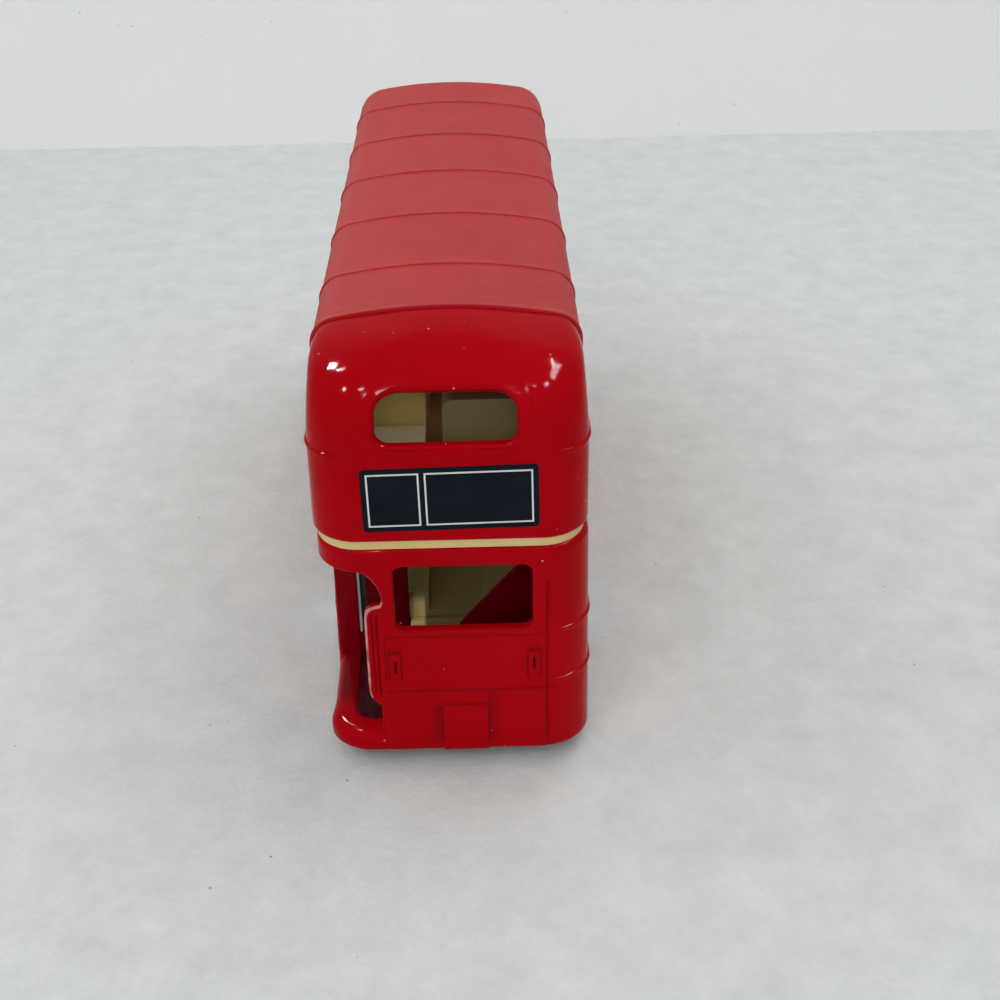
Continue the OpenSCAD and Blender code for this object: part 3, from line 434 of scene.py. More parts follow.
def shell(us, vs, outer, inner, holes, keep=None, relief=None, shift=None, shade=None):
    """A wall between an outer and an inner surface over a grid. Gives vertices, faces and paint."""
    U, V = np.meshgrid(us[:-1], vs)
    U2, V2 = U.copy(), V.copy()
    depth = np.zeros_like(U)
    worn = np.zeros_like(U)
    for h in holes:
        if h.r0 + h.r1 > 0.05:
            ur, vr = h.rounded(U, V)
            U2 += ur - U
            V2 += vr - V
        sunk = np.where(h.away(U, V) > -0.05, rolled(np.maximum(h.away(U, V), 0), h.roll), 0)
        depth = np.maximum(depth, sunk)
        if h.worn:
            worn = np.maximum(worn, h.worn(U, V) * np.clip(1 - np.abs(h.away(U, V)) / 0.4, 0, 1))
    if shift is not None:
        U2 = shift(U, U2, V2)
    P, N = outer(U2, V2)
    lift = -depth
    if relief is not None:
        lift = lift + relief(U2, V2) * (depth < 1e-6)
    P = P + N * lift[..., None]
    Q = inner(U2, V2)
    R, C = U.shape
    uc = (us[:-1] + us[1:]) / 2
    vc = (vs[:-1] + vs[1:]) / 2
    UC, VC = np.meshgrid(uc, vc)
    solid = np.ones_like(UC, bool)
    for h in holes:
        solid &= h.away(UC, VC) > 0
    if keep is not None:
        solid &= keep(UC, VC)
    n = R * C
    verts = np.concatenate([P.reshape(-1, 3), Q.reshape(-1, 3)])
    faces = []
    for r in range(R - 1):
        for c in range(C):
            if not solid[r, c]:
                continue
            c2 = (c + 1) % C
            a, b, d, e = r * C + c, r * C + c2, (r + 1) * C + c2, (r + 1) * C + c
            faces.append((a, b, d, e))
            faces.append((n + e, n + d, n + b, n + a))
            if r == 0 or not solid[r - 1, c]:
                faces.append((b, a, n + a, n + b))
            if r == R - 2 or not solid[r + 1, c]:
                faces.append((e, d, n + d, n + e))
            if not solid[r, (c - 1) % C]:
                faces.append((a, e, n + e, n + a))
            if not solid[r, c2]:
                faces.append((d, b, n + b, n + d))
    used = sorted({i for f in faces for i in f})
    index = {v: i for i, v in enumerate(used)}
    dark = np.zeros_like(U) if shade is None else shade(U2, V2)
    paint = {"shade": np.concatenate([dark.ravel(), dark.ravel()])[used],
             "wear": np.concatenate([worn.ravel(), -2 * worn.ravel()])[used]}
    return [verts[i] for i in used], [tuple(index[i] for i in f) for f in faces], paint


# Columns out to the knee stay upright as the dome closes, and those past it share what is left
KNEE, KNEE_SHARE = 9.8, 0.92


class Plan:
    """Walks round a plan outline by distance u from the middle of the rear, positive to the driver's side.
    Left of the front's middle, u goes on past the end of the kerb side, so that no hole is cut in two."""

    def __init__(self, hw, y0, y1, r0, r1):
        self.hw = hw
        self.xc, self.yc, self.xf, self.yf = hw - r0, y0 + r0, hw - r1, y1 - r1
        self.l0, self.l1 = r0 * math.pi / 2, r1 * math.pi / 2
        self.side = self.xc + self.l0
        self.nose = self.side + self.yf - self.yc
        self.face = self.nose + self.l1
        self.end = self.face + self.xf

    def at(self, U, hw, y0, y1, knot=None):
        """Points and plan normals for a half width and ends that change with the height."""
        U = np.where(U < -self.end, U + 2 * self.end, U)
        s = np.where(U >= 0, 1.0, -1.0)
        a = np.abs(U)
        t0 = (a - self.xc) / self.l0 * math.pi / 2
        t1 = (a - self.nose) / self.l1 * math.pi / 2
        xc, yc = knot or (self.xc, self.yc)
        back = a
        if knot:
            m = np.minimum(KNEE, KNEE_SHARE * xc)
            back = np.where(a < KNEE, a / KNEE * m, m + (a - KNEE) / (self.xc - KNEE) * (xc - m))
        zones = [a <= self.xc, a <= self.side, a <= self.nose, a <= self.face]
        one = np.ones_like(a)
        run = (a - self.side) / (self.nose - self.side)
        rear_x, rear_y = xc + (hw - xc) * np.sin(t0), yc - (yc - y0) * np.cos(t0)
        front_x, front_y = self.xf + (hw - self.xf) * np.cos(t1), self.yf + (y1 - self.yf) * np.sin(t1)
        x = np.select(zones, [back, rear_x, hw * one, front_x], self.end - a)
        y = np.select(zones, [y0 * one, rear_y, yc + (self.yf - yc) * run, front_y], y1 * one)
        nx = np.select(zones, [0 * a, np.sin(t0), one, np.cos(t1)], 0 * a)
        ny = np.select(zones, [-one, -np.cos(t0), 0 * a, np.sin(t1)], one)
        return s * x, y, s * nx, ny

    def y_at(self, y, side):
        return side * (self.side + y - self.yc)

    def front_at(self, x):
        """u of a point on the front, on the stretch that goes on from the kerb side."""
        if x >= -self.xf:
            return -self.end - x
        return -self.nose - self.l1 * math.acos((-x - self.xf) / (self.hw - self.xf)) / (math.pi / 2)

    def corners(self, n=14):
        ends = [(self.xc, self.l0), (self.nose, self.l1)]
        return [s * (e + l * k / n) for s in (-1, 1) for e, l in ends for k in range(n + 1)]


# Lower casting
low = Plan(LOW_HW, REAR, FRONT, REAR_R, FRONT_R)
SEAM, OFFSET, DRAFT = 2.6, 0.25, 0.45
TOP_ROLL, FOOT_ROLL = 0.9, 0.6
WIN_R, SCREEN_X = 1.2, (3.7, 15.4)
CAB_WIN_Y = (BULKHEAD_Y + 4.6, FRONT - 4.4)
WHEELS, ARCH_R, ARCH_TOP = (FRONT - 11.5, PLATFORM_Y + 20.65), 8.6, 16.1
RIM_FROM, RIM_H, RIM_IN, RIM_FALL = PLATFORM_Z - 2.6, 2.85, 2.0, 1.9
# Outline of the platform's edge in the rear wall: how far it is from EDGE_X at each height
EDGE_X = -11.8
EDGE_Z = np.array([7.2, 10.75, 11.0, 11.4, 11.9, 12.6, 13.4, 24.9, 25.6, 26.1, 26.45, 26.65, 26.8, 27.4, 28.4,
                   29.9, 31.2, 31.9, 32.3])
EDGE_DX = np.array([1.55, 1.5, 1.15, 0.68, 0.3, 0.06, 0.0, 0.0, 0.12, 0.36, 0.8, 1.4, 2.15, 2.45, 2.4,
                    1.95, 1.1, 0.35, -0.6])
# Half-round beads along the sides
BEAD_HALF, BEAD_RISE, BEAD_FROM, BEADS_Z = 0.34, 0.24, 12.2, (14.3, 22.4)
BEAD_ROWS = [BEAD_HALF * k for k in (-1.05, -1, -0.85, -0.5, 0, 0.5, 0.85, 1, 1.05)]
# Relief on the rear wall: foot box, panel with its lines, and a slot with a core
BOX_X, BOX_TOP = (-2, 4.12), 10.62
PANEL_X, PANEL_FOOT, PANEL_LINE = (-9.4, 11.9), 13.9, 22.05
LEFT_LINE, LEFT_LINE_Z = -9.35, (15.0, 22.0)
RIGHT_LINE, RIGHT_LINE_Z = 12.0, (4.2, 30.3)
SLOT_X, SLOT_Z = (-10.95, -10.15), (12.0, 25.9)
CORE_X, CORE_Z = (-10.72, -10.38), (12.4, 25.5)
# Lamp plates: the two sides, then the middle of the slit
LAMP_PLATES = ((-8.9, -7.35, -8.05, 17.15), (9.5, 11.1, 10.3, 17.45))
LAMP_Z, SLIT = (15.1, 19.3), 1.0


def low_hw(z):
    return LOW_HW + DRAFT * (LOW_TOP - z) / (LOW_TOP - FOOT_Z)


def low_inset(z):
    """How far the rolled top and foot edges draw in."""
    top = np.clip((z - LOW_TOP + TOP_ROLL) / TOP_ROLL, 0, 1)
    foot = np.clip((FOOT_Z + FOOT_ROLL - z) / FOOT_ROLL, 0, 1)
    return TOP_ROLL * (1 - np.sqrt(1 - 0.98 * top ** 2)) + FOOT_ROLL * (1 - np.sqrt(1 - 0.9 * foot ** 2))


side_wins = [(PLATFORM_Y + WALL + PILLAR / 2, RIB0 - PILLAR / 2)]
side_wins += [(RIBS[i] + PILLAR / 2, RIBS[i + 1] - PILLAR / 2) for i in range(3)]
side_wins += [(RIBS[3] + PILLAR / 2, BULKHEAD_Y - WALL - PILLAR / 2)]
low_holes = [Hole(-7.8, 22.95, 10.1, 32.85, 1.25, roll=0.45, fade=0.8)]
for y0, y1 in side_wins:
    low_holes += [Hole(low.y_at(y0, s), SILL, low.y_at(y1, s), WIN_TOP, WIN_R) for s in (-1, 1)]
for y in WHEELS:
    for s in (-1, 1):
        low_holes.append(Hole(low.y_at(y - ARCH_R, s), -9.0, low.y_at(y + ARCH_R, s), ARCH_TOP, 0.01, ARCH_R,
                              roll=0.3))
low_holes += [
    Hole(low.y_at(CAB_WIN_Y[0], 1), SILL, low.y_at(CAB_WIN_Y[1], 1), WIN_TOP, WIN_R),
    Hole(low.front_at(SCREEN_X[0]) + 2 * low.end, SILL, -low.front_at(-SCREEN_X[1]), WIN_TOP, WIN_R),
]
platform = Hole(low.y_at(PLATFORM_Y, -1), PLATFORM_Z + 0.2, EDGE_X, HEAD_Z, 0.02, roll=0.45, fade=0.4,
                worn=lambda U, V: (U > EDGE_X - 0.06) * band(V, 12.0, 31.9, 0.6))
wing_gap = Hole(low.y_at(BULKHEAD_Y, -1), WING_Z, low.front_at(BONNET_X), CANOPY_Z, 0.02, roll=0.3, fade=0.3)
bonnet_gap = Hole(low.front_at(BONNET_X), BONNET_Z, low.front_at(CAB_X), CANOPY_Z, 0.02, roll=0.3, fade=0.3)
low_holes += [platform, wing_gap, bonnet_gap]


def low_pinch(U, V, y):
    """The kerb side and the platform's rim draw in round the opening."""
    near = ease((y - REAR - 3) / 5) * (1 - ease((y - PLATFORM_Y) / 9))
    return 0.6 * near * (U < 0) * (1 - ease((V - HEAD_Z + 0.6) / 0.8))


def low_rim(U, V):
    """The skirt rolls over into the platform's floor."""
    k = np.clip((V - RIM_FROM) / RIM_H, 0, 0.97)
    here = ease((EDGE_X + 1.95 - U) / 0.4) * ease((U - platform.u0 + 0.6) / 0.6)
    return RIM_IN * here * (1 - np.sqrt(1 - k * k)) * (V < PLATFORM_Z + 0.6)


def rim_fall(y):
    """How far the platform's floor has fallen at a place along it."""
    return RIM_FALL * np.clip((PLATFORM_Y - y) / (PLATFORM_Y - REAR), 0, 1)


def low_z(U, V, y):
    """Height of a row: the platform's rim falls with its floor."""
    here = (U < 0) * ease((EDGE_X + 2.6 - U) / 0.9)
    return V - rim_fall(y) * here * np.interp(V, [FOOT_Z, PLATFORM_Z + 0.2, 10.7], [0, 1, 0])


def low_point(U, V, x, y):
    """A place on the plan, with the casting's offset, draw-in and fall."""
    return np.stack([x + OFFSET + low_pinch(U, V, y), y, low_z(U, V, y)], -1)


def low_outer(U, V):
    cut = low_inset(V) + low_rim(U, V)
    x, y, nx, ny = low.at(U, low_hw(V) - cut, REAR + cut, FRONT - cut)
    return low_point(U, V, x, y), np.stack([nx, ny, 0 * nx], -1)


def low_inner(U, V):
    deep = WALL + low_rim(U, V)
    x, y = low.at(U, LOW_HW - deep, REAR + deep, FRONT - WALL)[:2]
    return low_point(U, V, x, y)


def low_shift(U, U2, V2):
    """Gives the platform's edge in the rear wall its stepped outline."""
    dx = np.interp(V2, EDGE_Z, EDGE_DX)
    near = np.clip(1 - (U - EDGE_X) / 3.4, 0, 1) * (U > EDGE_X - 0.06) * (U < 0)
    return U2 + dx * near * near * (3 - 2 * near) ** 0.5


def groove(v, at, w):
    return np.exp(-((v - at) / w) ** 2)


def bead(v, at):
    return BEAD_RISE * np.sqrt(np.clip(1 - ((v - at) / BEAD_HALF) ** 2, 0, 1))


def on_rear(U):
    return (np.abs(U) < low.side + 1) * 1.0


def low_relief(U, V):
    """Box, plates, lines and slot of the rear wall, and the beads along the sides."""
    h = 0.25 * band(U, *BOX_X, 0.22) * band(V, 2.0, BOX_TOP, 0.22)
    for x0, x1, xs, zs in LAMP_PLATES:
        plate = band(U, x0, x1, 0.16) * band(V, *LAMP_Z, 0.16)
        h = np.maximum(h, 0.17 * plate)
        h = h - 0.2 * groove(U, xs, 0.13) * band(V, zs - SLIT, zs + SLIT, 0.2)
    body = band(U, *PANEL_X, 0.3)
    h = h + 0.12 * body * ease((PANEL_FOOT - V) / 0.5)
    h = h - 0.07 * body * groove(V, PANEL_LINE, 0.16)
    h = h - 0.09 * groove(U, RIGHT_LINE, 0.16) * band(V, *RIGHT_LINE_Z, 0.4)
    h = h - 0.07 * groove(U, LEFT_LINE, 0.14) * band(V, *LEFT_LINE_Z, 0.4)
    slot = band(U, *SLOT_X, 0.16) * band(V, *SLOT_Z, 0.3)
    core = band(U, *CORE_X, 0.16) * band(V, *CORE_Z, 0.3)
    h = (h - 0.14 * (slot - core)) * on_rear(U)
    clear = np.maximum(U > 0, ease((platform.u0 - 0.5 - U) / 3))
    for z in BEADS_Z:
        h = h + bead(V, z) * ease(np.abs(U) - BEAD_FROM) * clear
    return h


def low_shade(U, V):
    """Painted shade, with some dirt, in the grooves and lines of the rear wall, and painted shade on the
    platform's kerb-side rim.
    """
    left, right = groove(U, BOX_X[0] - 0.12, 0.15), groove(U, BOX_X[1] + 0.12, 0.15)
    marks = [
        0.55 * (left + right) * band(V, 4.5, BOX_TOP + 0.08, 0.4),
        0.5 * groove(V, BOX_TOP + 0.12, 0.14) * band(U, BOX_X[0] - 0.1, BOX_X[1] + 0.08, 0.3),
        0.5 * right * band(V, BOX_TOP - 0.02, 13.0, 0.4),
    ]
    for x0, x1, xs, zs in LAMP_PLATES:
        sides = np.maximum(groove(U, x0 - 0.08, 0.12), groove(U, x1 + 0.08, 0.12))
        ends = np.maximum(groove(V, LAMP_Z[0] - 0.08, 0.12), groove(V, LAMP_Z[1] + 0.08, 0.12))
        marks += [
            0.5 * sides * band(V, LAMP_Z[0] - 0.1, LAMP_Z[1] + 0.1, 0.2),
            0.5 * ends * band(U, x0, x1, 0.2),
            1.3 * groove(U, xs, 0.16) * band(V, zs - SLIT, zs + SLIT, 0.25),
        ]
    body = band(U, *PANEL_X, 0.3)
    slot = np.maximum(groove(U, SLOT_X[0] + 0.05, 0.12), groove(U, SLOT_X[1] - 0.05, 0.12))
    marks += [
        0.45 * body * groove(V, PANEL_FOOT - 0.7, 0.22),
        0.4 * body * groove(V, PANEL_LINE - 0.05, 0.16),
        0.6 * groove(U, RIGHT_LINE, 0.14) * band(V, *RIGHT_LINE_Z, 0.4),
        0.4 * groove(U, LEFT_LINE, 0.13) * band(V, *LEFT_LINE_Z, 0.4),
        0.55 * slot * band(V, SLOT_Z[0] + 0.1, SLOT_Z[1] - 0.1, 0.3),
    ]
    # Painted shade on the inner half of the kerb-side rim.
    rim = 0.55 * ease(V - PLATFORM_Z + 1.0) * (V < PLATFORM_Z + 0.6)
    rim = rim * ease((-U - low.side + 1.5) / 3.5) * (U > platform.u0 - 0.1)
    return np.clip(np.maximum(np.maximum.reduce(marks) * on_rear(U), rim), 0, 1)


def low_build():
    """Grid lines where the casting has detail, wrapped into its shell."""
    columns = [(x, 0.11) for x in BOX_X] + [(x, 0.08) for x in SLOT_X + CORE_X]
    columns += [(RIGHT_LINE, 0.2), (LEFT_LINE, 0.16)]
    rows = [(BOX_TOP, 0.11), (PANEL_FOOT - 0.25, 0.13), (PANEL_FOOT - 0.5, 0.15), (PANEL_LINE, 0.16)]
    rows += [(SLOT_Z[1] - 0.2, 0.15), (RIGHT_LINE_Z[1], 0.2)] + [(z, 0.08) for z in LAMP_Z]
    for x0, x1, xs, zs in LAMP_PLATES:
        columns += [(x0, 0.08), (x1, 0.08), (xs, 0.13)]
        rows += [(zs - SLIT, 0.1), (zs + SLIT, 0.1)]
    us = low.corners() + [s * (BEAD_FROM + 0.5 * k) for s in (-1, 1) for k in range(3)]
    us += [0, 1] + [PANEL_X[0] + d for d in (-0.15, 0.15, 0.3)] + [PANEL_X[1] + d for d in (-0.15, 0.15)]
    us += [x + w * k for x, w in columns for k in (-2, -1, 0, 1, 2)]
    vs = [FOOT_Z + k for k in (0.03, 0.1, 0.2, 0.35, FOOT_ROLL)]
    vs += [RIM_FROM + 0.2 * k for k in range(15)]
    vs += [LOW_TOP - TOP_ROLL + TOP_ROLL * math.sin(math.radians(a)) for a in range(0, 90, 10)]
    vs += [z + w * k for z, w in rows for k in (-1, 0, 1)]
    vs += [z + d for z in BEADS_Z for d in BEAD_ROWS]
    for lo, hi, n in ((25.2, 27.6, 19), (30.9, 32.2, 9), (10.6, 13.4, 15)):
        vs += list(np.linspace(lo, hi, n))
    for h in low_holes:
        a, b = h.grid()
        us += a
        vs += b
    start = low.front_at(SEAM)
    us = lines(us, start, start + 2 * low.end, 2.2)
    vs = lines(vs, FOOT_Z, LOW_TOP, 1.3)
    return shell(us, vs, low_outer, low_inner, low_holes, relief=low_relief, shift=low_shift, shade=low_shade)


verts, faces, paint = low_build()
lower = add_mesh("lower_casting", verts, faces, RED, paint=paint)
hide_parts("lower_body")


# Walls, floor and bonnet inside the lower casting
IN, STEP_Z, HEADER_Z = LOW_HW - WALL, 12.68, LOW_TOP - 1
DOOR_BACK, FLOOR_R, KERB_R = PLATFORM_Y + WALL, 4.7, 3.6
POST_X, DOOR_WALL_X = (-16.85, -13.8), (-12.65, -6.6)
BULKHEAD_TOP, BONNET_R, WING_R, CORNER_Y = LOW_TOP - 0.6, 3, 5.6, FRONT - 6.4
floor_outline = arc(-IN + 5.3, REAR + WALL + FLOOR_R, KERB_R, range(180, 271, 9))
floor_outline += arc(IN - FLOOR_R, REAR + WALL + FLOOR_R, FLOOR_R, range(270, 361, 9))
floor_outline += [(IN, DOOR_BACK), (-IN + 1.7, DOOR_BACK)]
stair_side = [(0.6, PLATFORM_Z - 1), (IN, PLATFORM_Z - 1), (IN, 33.2), (0.6, 14.6)]
cab_plan = [(CAB_X, BULKHEAD_Y - 0.2), (IN, BULKHEAD_Y - 0.2), (IN, CORNER_Y), (IN - 1.6, FRONT - 2.8),
            (IN - 5, FRONT - 1.2), (CAB_X, FRONT - 1.2)]
bonnet_end = [(BONNET_X, WING_Z - WALL)]
bonnet_end += arc(BONNET_X + BONNET_R, BONNET_Z - BONNET_R, BONNET_R, range(180, 89, -6))
bonnet_end += [(CAB_X + WALL, BONNET_Z), (CAB_X + WALL, WING_Z - WALL)]
wing_plan = [(BONNET_X + 1, BULKHEAD_Y - 0.3), (-IN - 0.4, BULKHEAD_Y - 0.3), (-IN - 0.4, CORNER_Y)]
wing_plan += arc(-IN + 5.2, CORNER_Y, WING_R, range(174, 107, -6))
wing_plan += [(BONNET_X + 1, FRONT - 1.0)]
inner = [
    prism("platform_floor", floor_outline, "z", FOOT_Z + 0.5, PLATFORM_Z + 0.12, GRIMY_SHADED, 0.1),
    prism("platform_step", rect(-IN, FOOT_Z + 0.5, IN, STEP_Z - 1.3), "y", PLATFORM_Y + 0.1, DOOR_BACK,
          INNER_SHADED, 0.2),
    prism("step_tread", rect(-6.5, STEP_Z - 1.28, IN - 0.1, STEP_Z + 0.3), "y", PLATFORM_Y + 0.15, DOOR_BACK,
          SHADED_CREAM, 0.12),
    prism("kerb_return", rect(POST_X[0], PLATFORM_Z, POST_X[1], HEADER_Z), "y", PLATFORM_Y - 0.1, DOOR_BACK,
          PILLAR_SHADED_RED, 0.3),
    prism("doorway_wall", rect(DOOR_WALL_X[0], STEP_Z - 1.6, DOOR_WALL_X[1], HEADER_Z), "y",
          PLATFORM_Y, DOOR_BACK, INNER_SHADED, 0.25),
    prism("stair_casing", stair_side, "y", PLATFORM_Y - 3.2, PLATFORM_Y - 2.4, INNER_SHADED, 0.12),
    prism("front_bulkhead", rect(-IN, WING_Z - 1.4, IN, BULKHEAD_TOP), "y", BULKHEAD_Y - WALL, BULKHEAD_Y,
          RED, 0.2, holes=[round_rect(BONNET_X, BONNET_Z + 1.2, CAB_X - 1.6, WIN_TOP, WIN_R)]),
    prism("cab_wall", rect(BULKHEAD_Y - 0.2, BONNET_Z - 3, FRONT - 1, BULKHEAD_TOP), "x", CAB_X, CAB_X + WALL,
          RED, 0.2, holes=[round_rect(CAB_WIN_Y[0], BONNET_Z + 1.4, CAB_WIN_Y[1], WIN_TOP, WIN_R)]),
    prism("cab_floor", cab_plan, "z", WING_Z - WALL, WING_Z, RED, 0.15),
    prism("bonnet", bonnet_end, "y", BULKHEAD_Y - 0.3, FRONT - 0.6, RED, 0.2),
    prism("front_wing", wing_plan, "z", WING_Z - WALL, WING_Z, RED, 0.2),
    prism("platform_upright", rect(POST_X[1] - 0.05, PLATFORM_Z, POST_X[1] + 0.4, LOW_TOP - 1.2), "y",
          PLATFORM_Y + 0.2, PLATFORM_Y + 0.9, WORN, 0.12),
    # A thin black sheet standing in for the shade in the doorway's gap: painted shade.
    prism("doorway_shadow_sheet", rect(-13.5, STEP_Z - 1, -12.5, LOW_TOP - 1.1), "y", PLATFORM_Y + 0.95,
          PLATFORM_Y + 1.25, BLACK, 0.08),
]
# The platform's floor falls to the rear, so its upper points are lowered
for v in inner[0].data.vertices:
    if v.co.z > (PLATFORM_Z + FOOT_Z) / 2 * MM:
        v.co.z -= float(rim_fall(v.co.y / MM)) * MM
for ob in inner:
    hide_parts("lower_body")


# Upper casting: straight panels, then a dome that runs forward under the roof's lip
UP_FRONT = FRONT - 0.2
up = Plan(UP_HW, REAR, UP_FRONT, REAR_R, FRONT_R)
DOME_Z, CREST, DOME_RUN, LEAN = BELT_Z + 0.6, ROOF_TOP - 0.15, 18.7, 0.35
DOME_POWER, DOME_END = 2.3, 84
CAMBER, SHOULDER = 73.0, 3.8
FLARE, FLARE_TOP, FLARE_H = 0.5, 57, 8
GLASS_Z = (50.3, 56.7)
# Rows of the rolled foot: height over the band and run forward
FOOT_ROWS = ((0, 0.35), (0.1, 0.16), (0.25, 0.04), (0.45, 0.0))
# Rows of the rear's middle line to just over the belt. After them the run only grows
PANEL_ROWS = 20


def section(hw, rs):
    """Where the roof's camber meets its shoulder: tilt, half width, and drops to the shoulder's two ends."""
    tilt = math.asin((hw - rs) / CAMBER)
    sx = hw - rs + rs * math.sin(tilt)
    flat = sx * sx / (2 * CAMBER)
    return tilt, sx, flat, flat + rs * math.cos(tilt)


def section_hw(depth):
    """Half width of the dome at a depth below its crest."""
    hw, rs = UP_HW - 0.15, SHOULDER
    _, _, flat, drop = section(hw, rs)
    shoulder = hw - rs + np.sqrt(np.maximum(0, rs * rs - (drop - depth) ** 2))
    camber = np.sqrt(2 * CAMBER * np.maximum(depth, 0.01))
    return np.where(depth > drop, hw, np.where(depth > flat, shoulder, camber))


def dome_curve():
    """The rear's middle line as arc length, height and run, from the band to the lip."""
    zs = [DECK_Z + z for z, _ in FOOT_ROWS]
    runs = [run for _, run in FOOT_ROWS]
    foot = zs[-1]
    for k in range(1, 13):
        zs.append(foot + (DOME_Z - foot) * k / 12)
        runs.append(LEAN * (k / 12) ** 2)
    a = np.radians(np.linspace(0, DOME_END, 160)[1:])
    zs = np.array(zs + list(DOME_Z + (CREST - DOME_Z) * np.sin(a) ** (2 / DOME_POWER)))
    runs = np.array(runs + list(LEAN + (DOME_RUN - LEAN) * (1 - np.cos(a) ** (2 / DOME_POWER))))
    length = np.concatenate([[0], np.cumsum(np.hypot(np.diff(zs), np.diff(runs)))])
    return length, zs, runs


ARC, ARC_Z, ARC_RUN = dome_curve()


def v_of(z):
    return float(np.interp(z, ARC_Z, ARC))


V_SEAT = v_of(SEAT_Z)
V_LIP = float(np.interp(LIP_Y - REAR, ARC_RUN[PANEL_ROWS:], ARC[PANEL_ROWS:]))
LIP_U = up.y_at(LIP_Y, 1)


def up_raw(U, V):
    z = np.interp(V, ARC, ARC_Z)
    run = np.interp(V, ARC, ARC_RUN)
    foot = np.interp(V, ARC[:len(FOOT_ROWS)], [run for _, run in FOOT_ROWS])
    hw = section_hw(CREST - z) - foot + FLARE * np.clip((FLARE_TOP - z) / FLARE_H, 0, 1)
    r = np.minimum(REAR_R + 0.3 * run, 0.85 * hw)
    front = UP_FRONT - 0.6 * np.clip((z - DECK_Z) / (SEAT_Z - DECK_Z), 0, 1) - foot
    x, y = up.at(U, hw, REAR + run, front, knot=(hw - r, REAR + run + r))[:2]
    return np.stack([x, y, z], -1)


def up_point(U, V):
    """Above the roof's seat, each column's rows are drawn in so that the last one lies on the lip's plane."""
    over = np.clip((V - V_SEAT) / (V_LIP - V_SEAT), 0, 1)
    lo, hi = np.full_like(U, V_SEAT), np.full_like(U, V_LIP + 0.6)
    for _ in range(28):
        mid = (lo + hi) / 2
        past = up_raw(U, mid)[..., 1] > LIP_Y
        hi, lo = np.where(past, mid, hi), np.where(past, lo, mid)
    return up_raw(U, np.where(V > V_SEAT, V_SEAT + over * (lo - V_SEAT), V))


def up_normal(U, V):
    e = 0.02
    du = up_point(U + e, V) - up_point(U - e, V)
    dv = up_point(U, np.minimum(V + e, V_LIP)) - up_point(U, np.maximum(V - e, 0))
    n = np.cross(du, dv)
    return n / np.maximum(np.linalg.norm(n, axis=-1, keepdims=True), 1e-9)


def up_window(u0, u1):
    return Hole(u0, v_of(UP_SILL), u1, v_of(UP_WIN_TOP), WIN_R, roll=0.3, fade=0.35)


glass = Hole(-8.75, v_of(GLASS_Z[0]), 8.6, v_of(GLASS_Z[1]), 1.7, 2.9, roll=0.5, fade=0.9)
up_holes = [glass]
up_wins = [(RIB0 - PITCH + PILLAR / 2, RIB0 - PILLAR / 2)]
up_wins += [(RIBS[i] + PILLAR / 2, RIBS[i + 1] - PILLAR / 2) for i in range(4)]
up_wins += [(RIBS[4] + PILLAR / 2, FRONT - 5.3)]
for y0, y1 in up_wins:
    up_holes += [up_window(up.y_at(y0, s), up.y_at(y1, s)) for s in (-1, 1)]
up_holes += [
    up_window(up.front_at(-14.0), up.front_at(-0.8)),
    up_window(up.front_at(0.8) + 2 * up.end, -up.front_at(-14.0)),
]


def up_outer(U, V):
    return up_point(U, V), up_normal(U, V)


def up_inner(U, V):
    n = up_normal(U, V)
    n[..., 2] = np.where(V < 1.0, 0, n[..., 2])
    n = n / np.maximum(np.linalg.norm(n, axis=-1, keepdims=True), 1e-9)
    q = up_point(U, V) - n * WALL
    q[..., 1] = np.where(V >= V_LIP - 1e-6, np.minimum(q[..., 1], LIP_Y), q[..., 1])
    return q


def up_relief(U, V):
    """The belt bead along the sides and the raised surround of the rear window."""
    cu, cv, r = (glass.u0 + glass.u1) / 2, (glass.v0 + glass.v1) / 2, 2.4
    a = np.abs(U - cu) - (glass.u1 - glass.u0) / 2 + r
    b = np.abs(V - cv) - (glass.v1 - glass.v0) / 2 + r
    away = np.hypot(np.maximum(a, 0), np.maximum(b, 0)) + np.minimum(np.maximum(a, b), 0) - r
    surround = 0.16 * ease((2.3 - away) / 0.7) * (np.abs(U) < 14)
    return bead(np.interp(V, ARC, ARC_Z), BELT_Z) * ease((np.abs(U) - 12.4) / 1.6) + surround


def up_build():
    """Grid lines where the casting has detail, wrapped into its shell."""
    us = up.corners(16) + [0, KNEE, -KNEE, LIP_U, -LIP_U]
    us += [s * (12.4 + 0.4 * k) for s in (-1, 1) for k in range(5)]
    us += [s * (10.2 + 0.22 * k) for s in (-1, 1) for k in range(7)]
    vs = list(ARC[:len(FOOT_ROWS)]) + [v_of(BELT_Z + d) for d in BEAD_ROWS] + [V_SEAT]
    for z, d in zip(GLASS_Z, (-1, 1)):
        vs += [v_of(z) + d * (1.5 + 0.22 * k) for k in range(5)]
    for h in up_holes:
        a, b = h.grid()
        us += a
        vs += b
    start = up.front_at(0)
    us = lines(us, start, start + 2 * up.end, 2.0)
    vs = lines(vs, 0, V_LIP, 0.8)
    return shell(us, vs, up_outer, up_inner, up_holes, relief=up_relief,
                 keep=lambda U, V: (V < V_SEAT) | (np.abs(U) < LIP_U + 1e-6))


verts, faces, paint = up_build()
upper = add_mesh("upper_casting", verts, faces, RED, paint=paint)
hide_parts("upper_body")

# Roof moulding
ROOF_HW, RISE, ROOF_T, ROOF_FRONT = UP_HW - 0.05, 6.25, 1.1, FRONT - 0.6
NOSE, NOSE_FOOT, NOSE_POWER = 4.7, 0.195, 2.4
NOSE_Y = ROOF_FRONT - NOSE
